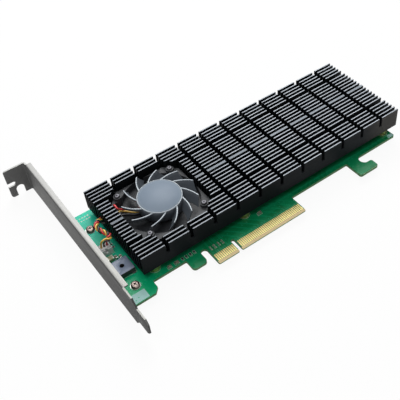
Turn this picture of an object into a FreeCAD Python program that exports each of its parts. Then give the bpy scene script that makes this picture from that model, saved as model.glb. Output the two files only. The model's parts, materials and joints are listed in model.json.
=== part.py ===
import FreeCAD, Part
import os
from math import cos, degrees, radians, sin, sqrt, tan

# NVMe adapter card: low-profile half-length board on a full-height slot bracket, with a cross-cut
# heatsink, a fan sunk in it and two M.2 sockets under it.
#
# Frame: X along the board, away from the bracket. Y from the contact edge to the top edge.
# +Z is the component side. The origin is at the middle of the key notch, on the contact edge,
# halfway through the board.

os.makedirs("parts", exist_ok=True)
Vec = FreeCAD.Vector

# ---- circuit board -------------------------------------------------------------------------
board_thickness = 1.57
board_length = 167.65
board_height = 68.9
board_corner = 0.8
notch_corner = 0.6              # where the ears and the hook meet the lower edge
bracket_to_key = 58.7           # outer face of the bracket to the middle of the key notch
bracket_to_board = 2.55         # outer face of the bracket to the board's end
tongue_height = 11.0            # contact edge to the board's long lower edge
tongue_corner = 0.5
key_width = 1.9
key_depth = 7.9
short_tongue = 11.65
long_tongue = 38.65
relief_width = 3.5              # slot between the middle ear and the short tongue
relief_depth = 0.6              # how far that slot runs past the lower edge
bevel_height = 1.3
bevel_depth = 0.47
end_ear_width = 13.85
end_ear_rise = 4.5              # contact edge to the ear's lower edge
end_ear_chamfer = 2.4
middle_ear_width = 7.9
middle_ear_rise = 4.3
middle_ear_corner = 1.8
hook_start = 76.7               # key notch to the retention hook
hook_length = 12.2
hook_corner = 1.2
hook_tip_rise = 5.3
hook_neck = 6.9
fillet_margin = 0.02            # keeps two fillets on one short edge from touching

# ---- edge contacts -------------------------------------------------------------------------
contact_pitch = 1.0
contact_width = 0.6
contact_length = 4.3
contact_thickness = 0.05
short_tongue_contacts = 11
long_tongue_contacts = 38

# ---- slot bracket --------------------------------------------------------------------------
sheet = 0.86
bracket_length = 120.02
bracket_width = 18.42
bracket_rise = 14.3             # component face to the bracket's upper edge
tab_seat = 106.0                # contact edge to the underside of the tab
tab_depth = 11.43
tab_corner = 1.5
bend_radius = 0.8
notch_width = 4.42
notch_reach = 6.2               # edge of the tab to the far end of the screw notch
notch_offset = 5.8              # outer face of the plate to the notch's middle
slit_width = 2.6
slit_length = 4.2
slit_rise = 8.6                 # lower edge of the tab to the slit's middle
slit_corner = 1.2
flange_width = 2.9
flange_rise = 19.16             # lower tip to the flange
flange_gap = 2.0                # flange to the underside of the tab
flange_return = 3.0
flange_bend = 1.2
flange_inner_bend = 0.4
tongue_width = 10.19
shoulder_rise = 11.96           # lower tip to where the plate starts to narrow
neck_rise = 8.76                # lower tip to where the lower tongue starts
kink_rise = 7.16                # lower tip to where the lower tongue bends inwards
kink_reach = 1.3
kink_radius = 3.0
tip_chamfer = 2.0
ear_width = 10.0
ear_reach = 12.6
ear_foot = 7.0
ear_bend = 0.3
ear_outer_bend = 0.5

# ---- screws --------------------------------------------------------------------------------
screw_diameter = 2.5
screw_head_diameter = 4.3
screw_head_height = 1.3
screw_clearance = 0.15
land_diameter = 5.0
land_thickness = 0.05
bracket_screw_inset = 8.8       # outer face of the bracket to the screws
bracket_screw_heights = (13.8, 56.5)
thread_end = 0.4                # screw past the ear

# ---- heatsink ------------------------------------------------------------------------------
sink_start = 14.2               # outer face of the bracket to the heatsink
sink_front = 13.9               # contact edge to the heatsink
sink_gap = 3.25                 # component face to the heatsink
sink_base = 2.2
sink_height = 11.05
fin_thickness = 0.85
middle_fin_thickness = 1.7
fin_pitch = 2.3
wide_step = 3.22                # fin to fin over a wide channel
middle_step = 2.576             # fin to fin beside the middle fin
outer_fins = 5
inner_fins = 6
block_count = 12
block_pitch = 13.33
block_gap = 1.9
first_block = 12.95
cross_cut_depth = 5.6
pocket_end_gap = 0.8            # fan frame to the pocket, along the board
pocket_side_gap = 1.0           # fan frame to the pocket, across the board
spacer_diameter = 5.0
spacer_insets = (21.0, 73.0, 166.6)   # outer face of the bracket to the spacers
spacer_edge = 3.1               # heatsink's long edge to the spacers
sink_thread_depth = 1.8
fan_thread_depth = 1.6

# ---- fan -----------------------------------------------------------------------------------
fan_inset = 41.5                # outer face of the bracket to the fan's axis
fan_height_on_board = 41.3      # contact edge to the fan's axis
frame_size = 39.2
frame_floor = 1.2
frame_wall_height = 5.0
tip_inset = 1.0                 # blade tips to the straight sides of the frame
tip_clearance = 1.1             # blade tips to the frame's round wall
gate_start = 6.7                # fan's axis to the near side of the gap for the leads
gate_end = 13.2
post_gap = 0.9                  # blade tips to the posts
post_diameter = 4.0
post_height = 6.6
fan_screw_diameter = 2.0
fan_screw_head_diameter = 2.8
fan_screw_head_height = 0.8
fan_screw_end = 0.1             # screw's tip to the end of its thread
boss_diameter = 6.4
boss_height = 6.2
boss_bore_rise = 0.5            # pocket floor to the bottom of the boss's bore
bearing_diameter = 4.6
bearing_bore = 2.08
bearing_rise = 2.0
shaft_diameter = 2.0
shaft_rise = 0.75
shaft_chamfer = 0.2
groove_rise = 1.5
groove_width = 0.4
groove_depth = 0.3
clip_diameter = 3.4
clip_thickness = 0.3
clip_mouth = 1.2
hub_diameter = 22.4
hub_wall = 1.0
hub_top_rise = 9.35             # pocket floor to the top of the hub
hub_bottom_rise = 2.9
hub_round = 0.4
hub_boss_diameter = 4.4
hub_boss_height = 1.6
blade_count = 11
blade_root = 0.5                # how deep the blades run into the hub
blade_top_rise = 9.0
blade_bottom_rise = 3.7
blade_tip_drop = 0.35           # how far the upper edge falls from root to tip
blade_thickness = 0.8
blade_sweep = 28.0              # degrees that the tip trails the root
blade_slant = 3.6               # how far the lower edge lies ahead of the upper edge
blade_first_angle = 156.0
blade_sections = 6
label_diameter = 21.0
label_thickness = 0.15
label_clearance = 0.1
yoke_wall = 0.6
yoke_bore = 5.0
yoke_rise = 0.1                 # lower edge of the hub to the yoke
magnet_wall = 1.0
magnet_height = 3.8
magnet_rise = 0.3
air_gap = 0.4
core_height = 2.4
core_rise = 3.4
core_hub = 1.2                  # wall of the core around the boss
shoe_wall = 1.0
shoe_gap = 1.4
tooth_width = 2.4
coil_wall = 0.7
coil_overhang = 0.6
coil_gap = 0.4                  # coils to the core's ring and pole shoes
pole_count = 4
driver_diameter = 17.0
driver_tab_reach = 9.2          # fan's axis to the edge where the leads are soldered
driver_tab_start = 2.2
driver_tab_end = 5.8
driver_thickness = 0.6

# ---- switch chip and sockets -----------------------------------------------------------------
chip_size = 27.0
chip_substrate = 1.1
chip_lid_size = 22.0
chip_lid_thickness = 1.3
chip_pad_inset = 1.0
socket_start = 20.5             # key notch to the sockets
socket_depth = 7.4
socket_width = 21.9
socket_height = 3.0
socket_wall = 1.0
socket_back = 3.4               # solid part of the socket behind its card slot
socket_slot = 1.1
socket_slot_rise = 1.3
socket_lip = 1.2                # length of the open shelf under the card
socket_shelf = 0.9
socket_heights = (29.3, 52.4)   # contact edge to the middle of each socket
tail_count = 34
tail_pitch = 0.5
tail_size = (0.9, 0.24, 0.2)    # length, width, height
ssd_reach = 83.5                # sockets' backs to the SSD screws
ssd_spacer_height = 1.5
ssd_screw_head_diameter = 3.6
ssd_screw_head_height = 0.7
ssd_screw_depth = 1.9
ssd_pad_start = 3.0             # sockets' fronts to the SSD pads
ssd_pad_length = 66.0
ssd_pad_width = 19.0
ssd_pad_thickness = 0.8

# ---- small parts on the board: sizes are length, width, height --------------------------------
inductor_size = (7.0, 6.6, 2.8)
inductor_spots = ((25.0, -13.0), (25.0, -3.0))      # from the fan's axis
regulator_size = (5.0, 5.0, 0.9)
regulator_gap = 1.0             # inductor to its regulator chip
flash_size = (4.9, 3.9, 1.4)
flash_spot = (25.5, 15.5)       # from the fan's axis
flash_standoff = 0.1
flash_lead_size = (0.42, 1.1, 0.25)
flash_lead_pitch = 1.27
flash_lead_count = 4
crystal_size = (3.2, 2.5, 0.8)
crystal_spot = (17.0, 15.0)     # from the fan's axis
small_capacitor_size = (1.0, 0.55, 0.5)
large_capacitor_size = (2.0, 1.25, 1.2)
resistor_size = (1.6, 0.8, 0.45)
tantalum_size = (3.5, 2.8, 1.9)
coupling_start = 1.6            # left end of the short tongue to the first capacitor
coupling_rise = 0.9             # top of the key notch to the first row of capacitors
coupling_pitch = 2.3
coupling_row_pitch = 1.5
coupling_columns = 4
coupling_rows = 2
edge_capacitor_spots = ((26.6, 12.6), (30.6, 12.6), (79.2, 12.5))   # bracket face, contact edge
buzzer_capacitor_spots = ((10.0, 33.2), (11.9, 32.2))
tantalum_spot = (7.2, 33.7)
resistor_row_start = (34.0, 12.9)
resistor_row_pitch = 2.2
resistor_row_count = 4
header_resistor_start = (11.9, 44.0)
header_resistor_pitch = 2.0
header_resistor_count = 3
back_capacitor_pitch = 4.0
back_capacitor_rows = 4

# ---- buzzer, header and leads ----------------------------------------------------------------
buzzer_size = 9.0
buzzer_height = 3.2
buzzer_standoff = 0.3
buzzer_corner = 0.5
buzzer_inset = 8.9
buzzer_rise = 25.1
buzzer_hole = 2.0
buzzer_hole_depth = 2.0
buzzer_pad_size = (1.6, 1.3)    # length and width; they fill the gap under the case
buzzer_pad_inset = 1.2
header_inset = 7.8
header_front = 37.0             # contact edge to the header's front wall
header_width = 6.0
header_depth = 4.5
header_height = 4.2
header_wall = 0.5
header_floor = 0.9
window_width = 1.2
window_rise = 1.7
pin_pitch = 1.5
pin_size = 0.5
pin_top = 3.1
pin_tail = 1.2
pin_hole = 0.9
plug_top = 4.8
plug_clearance = 0.1
plug_window_size = (0.8, 1.2)   # width and height
plug_window_rise = 2.0
crimp_size = 1.1
crimp_rise = 0.2                # header's floor to the crimped contacts
crimp_top = 4.1
lead_diameter = 0.9
lead_bend_share = 0.45          # part of a run that the bend at its end takes up

# ---- places worked out from the sizes above ---------------------------------------------------
face = board_thickness / 2
back = -face
bracket_face = -bracket_to_key
board_left = bracket_face + bracket_to_board
board_right = board_left + board_length
bracket_top = face + bracket_rise
bracket_bottom = bracket_top - bracket_width
bracket_tip = tab_seat + sheet - bracket_length
sink_bottom = face + sink_gap
sink_floor = sink_bottom + sink_base
sink_top = sink_bottom + sink_height
sink_left = bracket_face + sink_start
fan_x = bracket_face + fan_inset
fan_y = fan_height_on_board
screw_hole = screw_diameter + 2 * screw_clearance
screw_spots = [(bracket_face + bracket_screw_inset, y) for y in bracket_screw_heights]
ssd_screw_spots = [(socket_start + ssd_reach, y) for y in socket_heights]
tip_radius = frame_size / 2 - tip_inset
post_offset = (tip_radius + post_gap + post_diameter / 2) / sqrt(2)
frame_chamfer = frame_size - 2 * post_offset - post_diameter / sqrt(2)
post_spots = [(fan_x + side * post_offset, fan_y + end * post_offset)
              for side in (-1, 1) for end in (-1, 1)]
frame_top = sink_floor + frame_floor
hub_top = sink_floor + hub_top_rise
hub_low = sink_floor + hub_bottom_rise
yoke_radius = hub_diameter / 2 - hub_wall
magnet_radius = yoke_radius - yoke_wall
core_radius = magnet_radius - magnet_wall - air_gap
core_low = sink_floor + core_rise
chip_top = face + chip_substrate + chip_lid_thickness
short_start = -key_width / 2 - short_tongue
header_x = bracket_face + header_inset
header_y = header_front + header_depth / 2
pin_spots = [(header_x + step * pin_pitch, header_y) for step in (-1, 0, 1)]


# ---- helpers --------------------------------------------------------------------------------
def box(x0, x1, y0, y1, z0, z1):
    return Part.makeBox(x1 - x0, y1 - y0, z1 - z0, Vec(x0, y0, z0))


def block(x, y, z0, length, width, height):
    """A box standing on z0 with its middle at x, y."""
    return box(x - length / 2, x + length / 2, y - width / 2, y + width / 2, z0, z0 + height)


def rod(x, y, z0, z1, diameter):
    return Part.makeCylinder(diameter / 2, z1 - z0, Vec(x, y, z0))


def ring(x, y, z0, z1, outer, inner):
    return rod(x, y, z0, z1, outer).cut(rod(x, y, z0 - 1, z1 + 1, inner))


def outline(corners):
    """A closed wire in the XY plane; each corner is (x, y, radius)."""
    count = len(corners)
    starts, ends, middles = [], [], []
    for index, (x, y, radius) in enumerate(corners):
        here = Vec(x, y, 0)
        before = Vec(*corners[index - 1][:2], 0) - here
        after = Vec(*corners[(index + 1) % count][:2], 0) - here
        before.normalize()
        after.normalize()
        half_turn = before.getAngle(after) / 2
        reach = radius / tan(half_turn)
        inwards = (before + after).normalize() if radius else Vec(0, 0, 0)
        starts.append(here + before * reach)
        ends.append(here + after * reach)
        middles.append(here + inwards * (radius / sin(half_turn) - radius))
    edges = []
    for index, corner in enumerate(corners):
        if corner[2]:
            edges.append(Part.Arc(starts[index], middles[index], ends[index]).toShape())
        following = starts[(index + 1) % count]
        if (following - ends[index]).Length > 1e-6:
            edges.append(Part.LineSegment(ends[index], following).toShape())
    return Part.Wire(edges)


def plate(corners, z0, z1):
    """A flat piece with the outline of corners, from z0 to z1."""
    piece = Part.Face(outline(corners)).extrude(Vec(0, 0, z1 - z0))
    piece.translate(Vec(0, 0, z0))
    return piece


def section_along_y(corners, y0, y1):
    """A bar along Y; each corner of its section is (x, z, radius)."""
    bar = plate(corners, 0, y1 - y0)
    bar.rotate(Vec(0, 0, 0), Vec(1, 0, 0), 90)
    bar.translate(Vec(0, y1, 0))
    return bar


def section_along_x(corners, x0, x1):
    """A bar along X; each corner of its section is (y, z, radius)."""
    bar = plate(corners, 0, x1 - x0)
    bar.rotate(Vec(0, 0, 0), Vec(1, 1, 1), 120)
    bar.translate(Vec(x0, 0, 0))
    return bar


def turned(x, y, profile):
    """A turned piece on an upright axis; profile is a list of (radius, z)."""
    points = [Vec(radius, 0, z) for radius, z in profile]
    piece = Part.Face(Part.makePolygon(points + points[:1])).revolve(Vec(0, 0, 0), Vec(0, 0, 1), 360)
    piece.translate(Vec(x, y, 0))
    return piece


def turned_about(piece, x, y, angle):
    """The piece turned about an upright axis through x, y."""
    piece.rotate(Vec(x, y, 0), Vec(0, 0, 1), angle)
    return piece


def chamfered_square(x, y, length, width, chamfer):
    right, top = x + length / 2, y + width / 2
    left, bottom = x - length / 2, y - width / 2
    return [(left + chamfer, bottom, 0), (right - chamfer, bottom, 0), (right, bottom + chamfer, 0),
            (right, top - chamfer, 0), (right - chamfer, top, 0), (left + chamfer, top, 0),
            (left, top - chamfer, 0), (left, bottom + chamfer, 0)]


def pan_screw(x, y, seat, tip, diameter, head_diameter, head_height):
    """A pan-headed screw; its head stands on seat and its shank ends at tip, below."""
    head = head_diameter / 2
    top = seat + head_height
    return turned(x, y, [(0, tip), (diameter / 2, tip), (diameter / 2, seat), (head, seat),
                         (head, seat + 0.5 * head_height), (0.65 * head, top), (0, top)])


def upside_down(piece, z):
    """The piece mirrored in the level z."""
    return piece.mirror(Vec(0, 0, z), Vec(0, 0, 1))


def save(name, *pieces):
    shape = pieces[0] if len(pieces) == 1 else Part.makeCompound(pieces)
    shape.exportStep(f"parts/{name}.step")


# ---- circuit board ---------------------------------------------------------------------------
def make_board():
    ear_right = board_left + end_ear_width
    middle_right = short_start - relief_width
    middle_left = middle_right - middle_ear_width
    relief_top = tongue_height + relief_depth
    relief_round = relief_width / 2 - fillet_margin
    key_left, key_right = -key_width / 2, key_width / 2
    key_round = key_width / 2 - fillet_margin
    long_end = key_right + long_tongue
    hook_end = hook_start + hook_length
    hook_inner = hook_start + hook_neck
    mouth_round = (tongue_height - hook_tip_rise) / 2 - fillet_margin
    corners = [
        (board_left, end_ear_rise, board_corner),
        (ear_right - end_ear_chamfer, end_ear_rise, 0),
        (ear_right, end_ear_rise + end_ear_chamfer, 0),
        (ear_right, tongue_height, notch_corner),
        (middle_left, tongue_height, notch_corner),
        (middle_left, middle_ear_rise, middle_ear_corner),
        (middle_right, middle_ear_rise, middle_ear_corner),
        (middle_right, relief_top, relief_round),
        (short_start, relief_top, relief_round),
        (short_start, 0, tongue_corner),
        (key_left, 0, tongue_corner),
        (key_left, key_depth, key_round),
        (key_right, key_depth, key_round),
        (key_right, 0, tongue_corner),
        (long_end, 0, tongue_corner),
        (long_end, tongue_height, notch_corner),
        (hook_start, tongue_height, notch_corner),
        (hook_start, 0, hook_corner),
        (hook_end, 0, hook_corner),
        (hook_end, hook_tip_rise, hook_corner),
        (hook_inner, hook_tip_rise, mouth_round),
        (hook_inner, tongue_height, mouth_round),
        (board_right, tongue_height, board_corner),
        (board_right, board_height, board_corner),
        (board_left, board_height, board_corner)]
    board = plate(corners, back, face)
    slope = bevel_depth / bevel_height
    wedge = [(-1, face - bevel_depth - slope, 0), (bevel_height, face, 0),
             (bevel_height, face + 1, 0), (-1, face + 1, 0)]
    bevel = section_along_x(wedge, short_start - 1, long_end + 1)
    board = board.cut(bevel).cut(upside_down(bevel, 0))
    spots = screw_spots + sink_screw_spots() + ssd_screw_spots
    holes = [rod(x, y, back - 1, face + 1, screw_hole) for x, y in spots]
    holes += [rod(x, y, back - 1, face + 1, pin_hole) for x, y in pin_spots]
    return board.cut(Part.makeCompound(holes))


def contact_places():
    """The middle of every contact along the two tongues."""
    long_row = (long_tongue_contacts - 1) * contact_pitch
    short_row = (short_tongue_contacts - 1) * contact_pitch
    long_first = key_width / 2 + (long_tongue - long_row) / 2
    short_first = -key_width / 2 - (short_tongue - short_row) / 2
    places = [long_first + index * contact_pitch for index in range(long_tongue_contacts)]
    return places + [short_first - index * contact_pitch for index in range(short_tongue_contacts)]


def make_contacts(z0):
    middle = bevel_height + contact_length / 2
    return [block(x, middle, z0, contact_width, contact_length, contact_thickness)
            for x in contact_places()]


# ---- slot bracket ----------------------------------------------------------------------------
def make_bracket():
    """The folded sheet: plate, tab, stiffening flange and the tongue that narrows and bends inwards."""
    inner = bracket_face + sheet
    tab_end = bracket_face - tab_depth
    tab_top = tab_seat + sheet
    kink = bracket_tip + kink_rise
    bent_inner = inner + kink_reach
    profile = [
        (tab_end, tab_seat, 0), (bracket_face, tab_seat, bend_radius), (bracket_face, kink, kink_radius),
        (bracket_face + kink_reach, bracket_tip, 0), (bent_inner, bracket_tip, 0),
        (inner, kink, kink_radius), (inner, tab_top, bend_radius + sheet), (tab_end, tab_top, 0)]
    bracket = plate(profile, bracket_bottom, bracket_top)
    middle = (bracket_top + bracket_bottom) / 2
    shoulder, neck = bracket_tip + shoulder_rise, bracket_tip + neck_rise
    for side in (-1, 1):
        edge = middle + side * bracket_width / 2
        narrow = middle + side * tongue_width / 2
        beyond = edge + side
        waste = [(shoulder, beyond, 0), (shoulder, edge, 0), (neck, narrow, 0),
                 (bracket_tip + tip_chamfer, narrow, 0),
                 (bracket_tip - 1, narrow - side * (tip_chamfer + 1), 0), (bracket_tip - 1, beyond, 0)]
        bracket = bracket.cut(section_along_x(waste, bracket_face - 1, bent_inner + 1))
    for waste in tab_cuts(tab_end):
        bracket = bracket.cut(waste)
    low = bracket_top - flange_return
    start, end = bracket_tip + flange_rise, tab_seat - flange_gap
    room = box(bracket_face - 1, inner + 1, start, end, low, bracket_top + 1)
    reach = bracket_face + flange_width
    section = [(bracket_face, low, 0), (inner, low, 0), (inner, bracket_top - sheet, flange_inner_bend),
               (reach, bracket_top - sheet, 0), (reach, bracket_top, 0),
               (bracket_face, bracket_top, flange_bend)]
    return bracket.cut(room).fuse(section_along_y(section, start, end)).removeSplitter()


def tab_cuts(tab_end):
    """What is cut from the tab: its screw notch, its slit and its two outer corners."""
    low, high = tab_seat - 1, tab_seat + sheet + 1
    half = notch_width / 2
    notch_x = bracket_face - notch_offset
    notch_end = bracket_bottom + notch_reach
    notch = [(notch_x - half, bracket_bottom - 1, 0), (notch_x + half, bracket_bottom - 1, 0),
             (notch_x + half, notch_end, half - fillet_margin),
             (notch_x - half, notch_end, half - fillet_margin)]
    slit_low = bracket_bottom + slit_rise - slit_width / 2
    slit_end = tab_end + slit_length
    slit = [(tab_end - 1, slit_low, 0), (slit_end, slit_low, slit_corner),
            (slit_end, slit_low + slit_width, slit_corner), (tab_end - 1, slit_low + slit_width, 0)]
    cuts = [section_along_y(notch, low, high), section_along_y(slit, low, high)]
    for z, side in ((bracket_bottom, 1), (bracket_top, -1)):
        centre_x, centre_z = tab_end + tab_corner, z + side * tab_corner
        square = box(tab_end - 1, centre_x, low, high, min(z - side, centre_z), max(z - side, centre_z))
        pin = Part.makeCylinder(tab_corner, high - low + 2, Vec(centre_x, low - 1, centre_z), Vec(0, 1, 0))
        cuts.append(square.cut(pin))
    return cuts


def make_bracket_ear(y):
    """An angle spot-welded to the plate; the board is screwed to it."""
    inner = bracket_face + sheet
    low = back - sheet
    reach = bracket_face + ear_reach
    section = [(inner, low, ear_outer_bend), (reach, low, 0), (reach, back, 0),
               (inner + sheet, back, ear_bend), (inner + sheet, face + ear_foot, 0),
               (inner, face + ear_foot, 0)]
    ear = section_along_y(section, y - ear_width / 2, y + ear_width / 2)
    return ear.cut(rod(bracket_face + bracket_screw_inset, y, low - 1, back + 1, screw_diameter))


def make_bracket_screws():
    seat = face + land_thickness
    tip = back - sheet - thread_end
    return [pan_screw(x, y, seat, tip, screw_diameter, screw_head_diameter, screw_head_height)
            for x, y in screw_spots]


def make_lands():
    top = face + land_thickness
    return [ring(x, y, face, top, land_diameter, screw_hole) for x, y in screw_spots]


# ---- heatsink --------------------------------------------------------------------------------
def fin_rows():
    """The middle and thickness of every fin, from the front edge to the back edge."""
    steps = [fin_pitch] * (outer_fins - 1) + [wide_step]
    steps += [fin_pitch] * (inner_fins - 1) + [middle_step]
    steps += steps[::-1]
    middle_index = outer_fins + inner_fins
    rows = [(sink_front + fin_thickness / 2, fin_thickness)]
    for index, step in enumerate(steps, start=1):
        thickness = middle_fin_thickness if index == middle_index else fin_thickness
        rows.append((rows[-1][0] + step, thickness))
    return rows


def sink_back():
    return fin_rows()[-1][0] + fin_thickness / 2


def sink_screw_spots():
    rows = (sink_front + spacer_edge, sink_back() - spacer_edge)
    return [(bracket_face + inset, y) for inset in spacer_insets for y in rows]


def make_heatsink():
    """An extrusion of long fins, cut across into blocks, with a pocket milled out for the fan."""
    rows = fin_rows()
    right = sink_left + first_block + (block_count - 1) * block_pitch
    above = sink_top + 1
    sink = box(sink_left, right, sink_front, sink_back(), sink_bottom, sink_top)
    waste = []
    for (y, thickness), (next_y, next_thickness) in zip(rows, rows[1:]):
        near, far = y + thickness / 2, next_y - next_thickness / 2
        waste.append(box(sink_left - 1, right + 1, near, far, sink_floor, above))
    sink = sink.cut(Part.makeCompound(waste))
    waste = []
    for index in range(block_count - 1):
        start = sink_left + first_block + index * block_pitch
        waste.append(box(start, start + block_gap, sink_front - 1, sink_back() + 1,
                         sink_top - cross_cut_depth, above))
    sink = sink.cut(Part.makeCompound(waste))
    pocket = chamfered_square(fan_x, fan_y, frame_size + 2 * pocket_end_gap,
                              frame_size + 2 * pocket_side_gap, frame_chamfer + pocket_side_gap)
    holes = [rod(x, y, sink_bottom - 1, sink_bottom + sink_thread_depth, screw_diameter)
             for x, y in sink_screw_spots()]
    holes += [rod(x, y, sink_floor - fan_thread_depth, sink_floor + 1, fan_screw_diameter)
              for x, y in post_spots]
    return sink.cut(plate(pocket, sink_floor, above)).cut(Part.makeCompound(holes))


def make_spacers():
    return [ring(x, y, face, sink_bottom, spacer_diameter, screw_hole) for x, y in sink_screw_spots()]


def make_sink_screws():
    tip = -sink_bottom - sink_thread_depth + thread_end
    screws = [pan_screw(x, y, face, tip, screw_diameter, screw_head_diameter, screw_head_height)
              for x, y in sink_screw_spots()]
    return [upside_down(screw, 0) for screw in screws]


# ---- fan -------------------------------------------------------------------------------------
def make_fan_frame():
    """The frame: a floor, four corner walls round the blades, screw posts and the bearing's boss."""
    shape = chamfered_square(fan_x, fan_y, frame_size, frame_size, frame_chamfer)
    floor = plate(shape, sink_floor, frame_top)
    walls = plate(shape, frame_top, sink_floor + frame_wall_height)
    walls = walls.cut(rod(fan_x, fan_y, frame_top - 1, sink_top, 2 * (tip_radius + tip_clearance)))
    gate = box(fan_x - frame_size, fan_x - post_offset + post_diameter,
               fan_y + gate_start, fan_y + gate_end, frame_top, sink_top)
    posts = [rod(x, y, frame_top, sink_floor + post_height, post_diameter) for x, y in post_spots]
    boss = rod(fan_x, fan_y, frame_top, sink_floor + boss_height, boss_diameter)
    frame = floor.fuse([walls.cut(gate), boss] + posts).removeSplitter()
    bores = [rod(x, y, sink_floor - 1, sink_top, fan_screw_diameter) for x, y in post_spots]
    bores.append(rod(fan_x, fan_y, sink_floor + boss_bore_rise, sink_top, bearing_diameter))
    return frame.cut(Part.makeCompound(bores))


def make_fan_screws():
    seat = sink_floor + post_height
    tip = sink_floor - fan_thread_depth + fan_screw_end
    return [pan_screw(x, y, seat, tip, fan_screw_diameter, fan_screw_head_diameter, fan_screw_head_height)
            for x, y in post_spots]


def make_stator_core():
    """Laminated core: a ring on the boss, and one tooth with a pole shoe per quarter turn."""
    low, high = core_low, core_low + core_height
    disc = ring(fan_x, fan_y, low, high, 2 * core_radius, boss_diameter)
    windows = ring(fan_x, fan_y, low - 1, high + 1, 2 * (core_radius - shoe_wall),
                   boss_diameter + 2 * core_hub)
    for index in range(pole_count):
        turn = index * 360 / pole_count
        tooth = box(fan_x, fan_x + core_radius, fan_y - tooth_width / 2, fan_y + tooth_width / 2,
                    low - 2, high + 2)
        gap = block(fan_x + core_radius, fan_y, low - 1, core_radius, shoe_gap, core_height + 2)
        windows = windows.cut(turned_about(tooth, fan_x, fan_y, turn))
        disc = disc.cut(turned_about(gap, fan_x, fan_y, turn + 180 / pole_count))
    return disc.cut(windows)


def make_coils():
    """Windings: one closed bobbin of wire round each tooth."""
    inner = boss_diameter / 2 + core_hub + coil_gap
    outer = core_radius - shoe_wall - coil_gap
    half = tooth_width / 2
    wide = half + coil_wall
    coils = []
    for index in range(pole_count):
        coil = box(fan_x + inner, fan_x + outer, fan_y - wide, fan_y + wide,
                   core_low - coil_overhang, core_low + core_height + coil_overhang)
        tooth = box(fan_x, fan_x + outer + 1, fan_y - half, fan_y + half, core_low, core_low + core_height)
        coils.append(turned_about(coil.cut(tooth), fan_x, fan_y, index * 360 / pole_count))
    return coils


def make_driver_board():
    top = frame_top + driver_thickness
    tab = box(fan_x - driver_tab_reach, fan_x, fan_y + driver_tab_start, fan_y + driver_tab_end,
              frame_top, top)
    board = rod(fan_x, fan_y, frame_top, top, driver_diameter).fuse(tab).removeSplitter()
    return board.cut(rod(fan_x, fan_y, frame_top - 1, top + 1, boss_diameter))


def blade_section(span, first_angle):
    """Upright section of a blade, square to one radius; span runs from 0 at the root to 1."""
    root = hub_diameter / 2 - blade_root
    radius = root + (tip_radius - root) * span
    top = sink_floor + blade_top_rise - blade_tip_drop * span
    drop = top - sink_floor - blade_bottom_rise
    half = blade_thickness / 2 * (1 - 0.2 * span)
    angle = radians(first_angle - blade_sweep * span ** 0.85) - blade_slant / 2 / radius
    outwards = Vec(cos(angle), sin(angle), 0)
    along = Vec(-sin(angle), cos(angle), 0)
    middle = Vec(fan_x, fan_y, top) + outwards * radius + along * (blade_slant / 2)
    # Share of the way down, then how far the skin lies from the middle line, as a share of half.
    skin = ((0.0, 0.55), (0.07, 1.0), (0.45, 1.0), (0.75, 0.85), (1.0, 0.5))
    points = []
    for side, walk in ((1, skin), (-1, skin[::-1])):
        for share, fullness in walk:
            shift = side * half * fullness - blade_slant * share ** 1.6
            points.append(middle + along * shift - Vec(0, 0, drop * share))
    return Part.makePolygon(points + points[:1])


def make_rotor():
    """The hub: a cup with a seat for its label and a boss for the shaft, and swept, twisted blades."""
    radius = hub_diameter / 2
    cap_low = hub_top - hub_wall
    hub = turned(fan_x, fan_y, [
        (0, hub_top), (radius - hub_round, hub_top), (radius, hub_top - hub_round), (radius, hub_low),
        (radius - hub_wall, hub_low), (radius - hub_wall, cap_low), (0, cap_low)])
    blades = []
    for index in range(blade_count):
        first_angle = blade_first_angle + index * 360 / blade_count
        spans = [step / (blade_sections - 1) for step in range(blade_sections)]
        blades.append(Part.makeLoft([blade_section(span, first_angle) for span in spans], True, True))
    boss = ring(fan_x, fan_y, cap_low - hub_boss_height, cap_low, hub_boss_diameter, shaft_diameter)
    seat_diameter = label_diameter + 2 * label_clearance
    seat = rod(fan_x, fan_y, hub_top - label_thickness, hub_top + 1, seat_diameter)
    return hub.fuse(blades + [boss]).cut(seat)


def make_yoke():
    """Steel cup that lines the hub and carries the magnet."""
    top = hub_top - hub_wall
    low = hub_low + yoke_rise
    cup = rod(fan_x, fan_y, low, top, 2 * yoke_radius)
    cup = cup.cut(rod(fan_x, fan_y, low - 1, top - yoke_wall, 2 * magnet_radius))
    return cup.cut(rod(fan_x, fan_y, low, top + 1, yoke_bore))


def make_magnet():
    low = hub_low + magnet_rise
    bore = magnet_radius - magnet_wall
    return ring(fan_x, fan_y, low, low + magnet_height, 2 * magnet_radius, 2 * bore)


def make_shaft():
    bottom, top = sink_floor + shaft_rise, hub_top - hub_wall
    low = sink_floor + groove_rise - groove_width / 2
    high = low + groove_width
    radius = shaft_diameter / 2
    waist = radius - groove_depth
    return turned(fan_x, fan_y, [
        (0, bottom), (radius - shaft_chamfer, bottom), (radius, bottom + shaft_chamfer), (radius, low),
        (waist, low), (waist, high), (radius, high), (radius, top), (0, top)])


def make_shaft_clip():
    """The open washer in the shaft's groove, which keeps the rotor in its bearing."""
    middle = sink_floor + groove_rise
    low, high = middle - clip_thickness / 2, middle + clip_thickness / 2
    clip = ring(fan_x, fan_y, low, high, clip_diameter, shaft_diameter - 2 * groove_depth)
    mouth = box(fan_x, fan_x + clip_diameter, fan_y - clip_mouth / 2, fan_y + clip_mouth / 2,
                low - 1, high + 1)
    return clip.cut(mouth)


# ---- switch chip, sockets and small parts ------------------------------------------------------
def make_socket(y):
    """An M.2 socket: a low moulding with a card slot that opens away from the bracket."""
    end = socket_start + socket_depth
    low, high = y - socket_width / 2 + socket_wall, y + socket_width / 2 - socket_wall
    slot_low = face + socket_slot_rise
    body = block(socket_start + socket_depth / 2, y, face, socket_depth, socket_width, socket_height)
    slot = box(socket_start + socket_back, end + 1, low, high, slot_low, slot_low + socket_slot)
    shelf = box(end - socket_lip, end + 1, low, high, face + socket_shelf, face + socket_height + 1)
    return body.cut(slot).cut(shelf)


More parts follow.
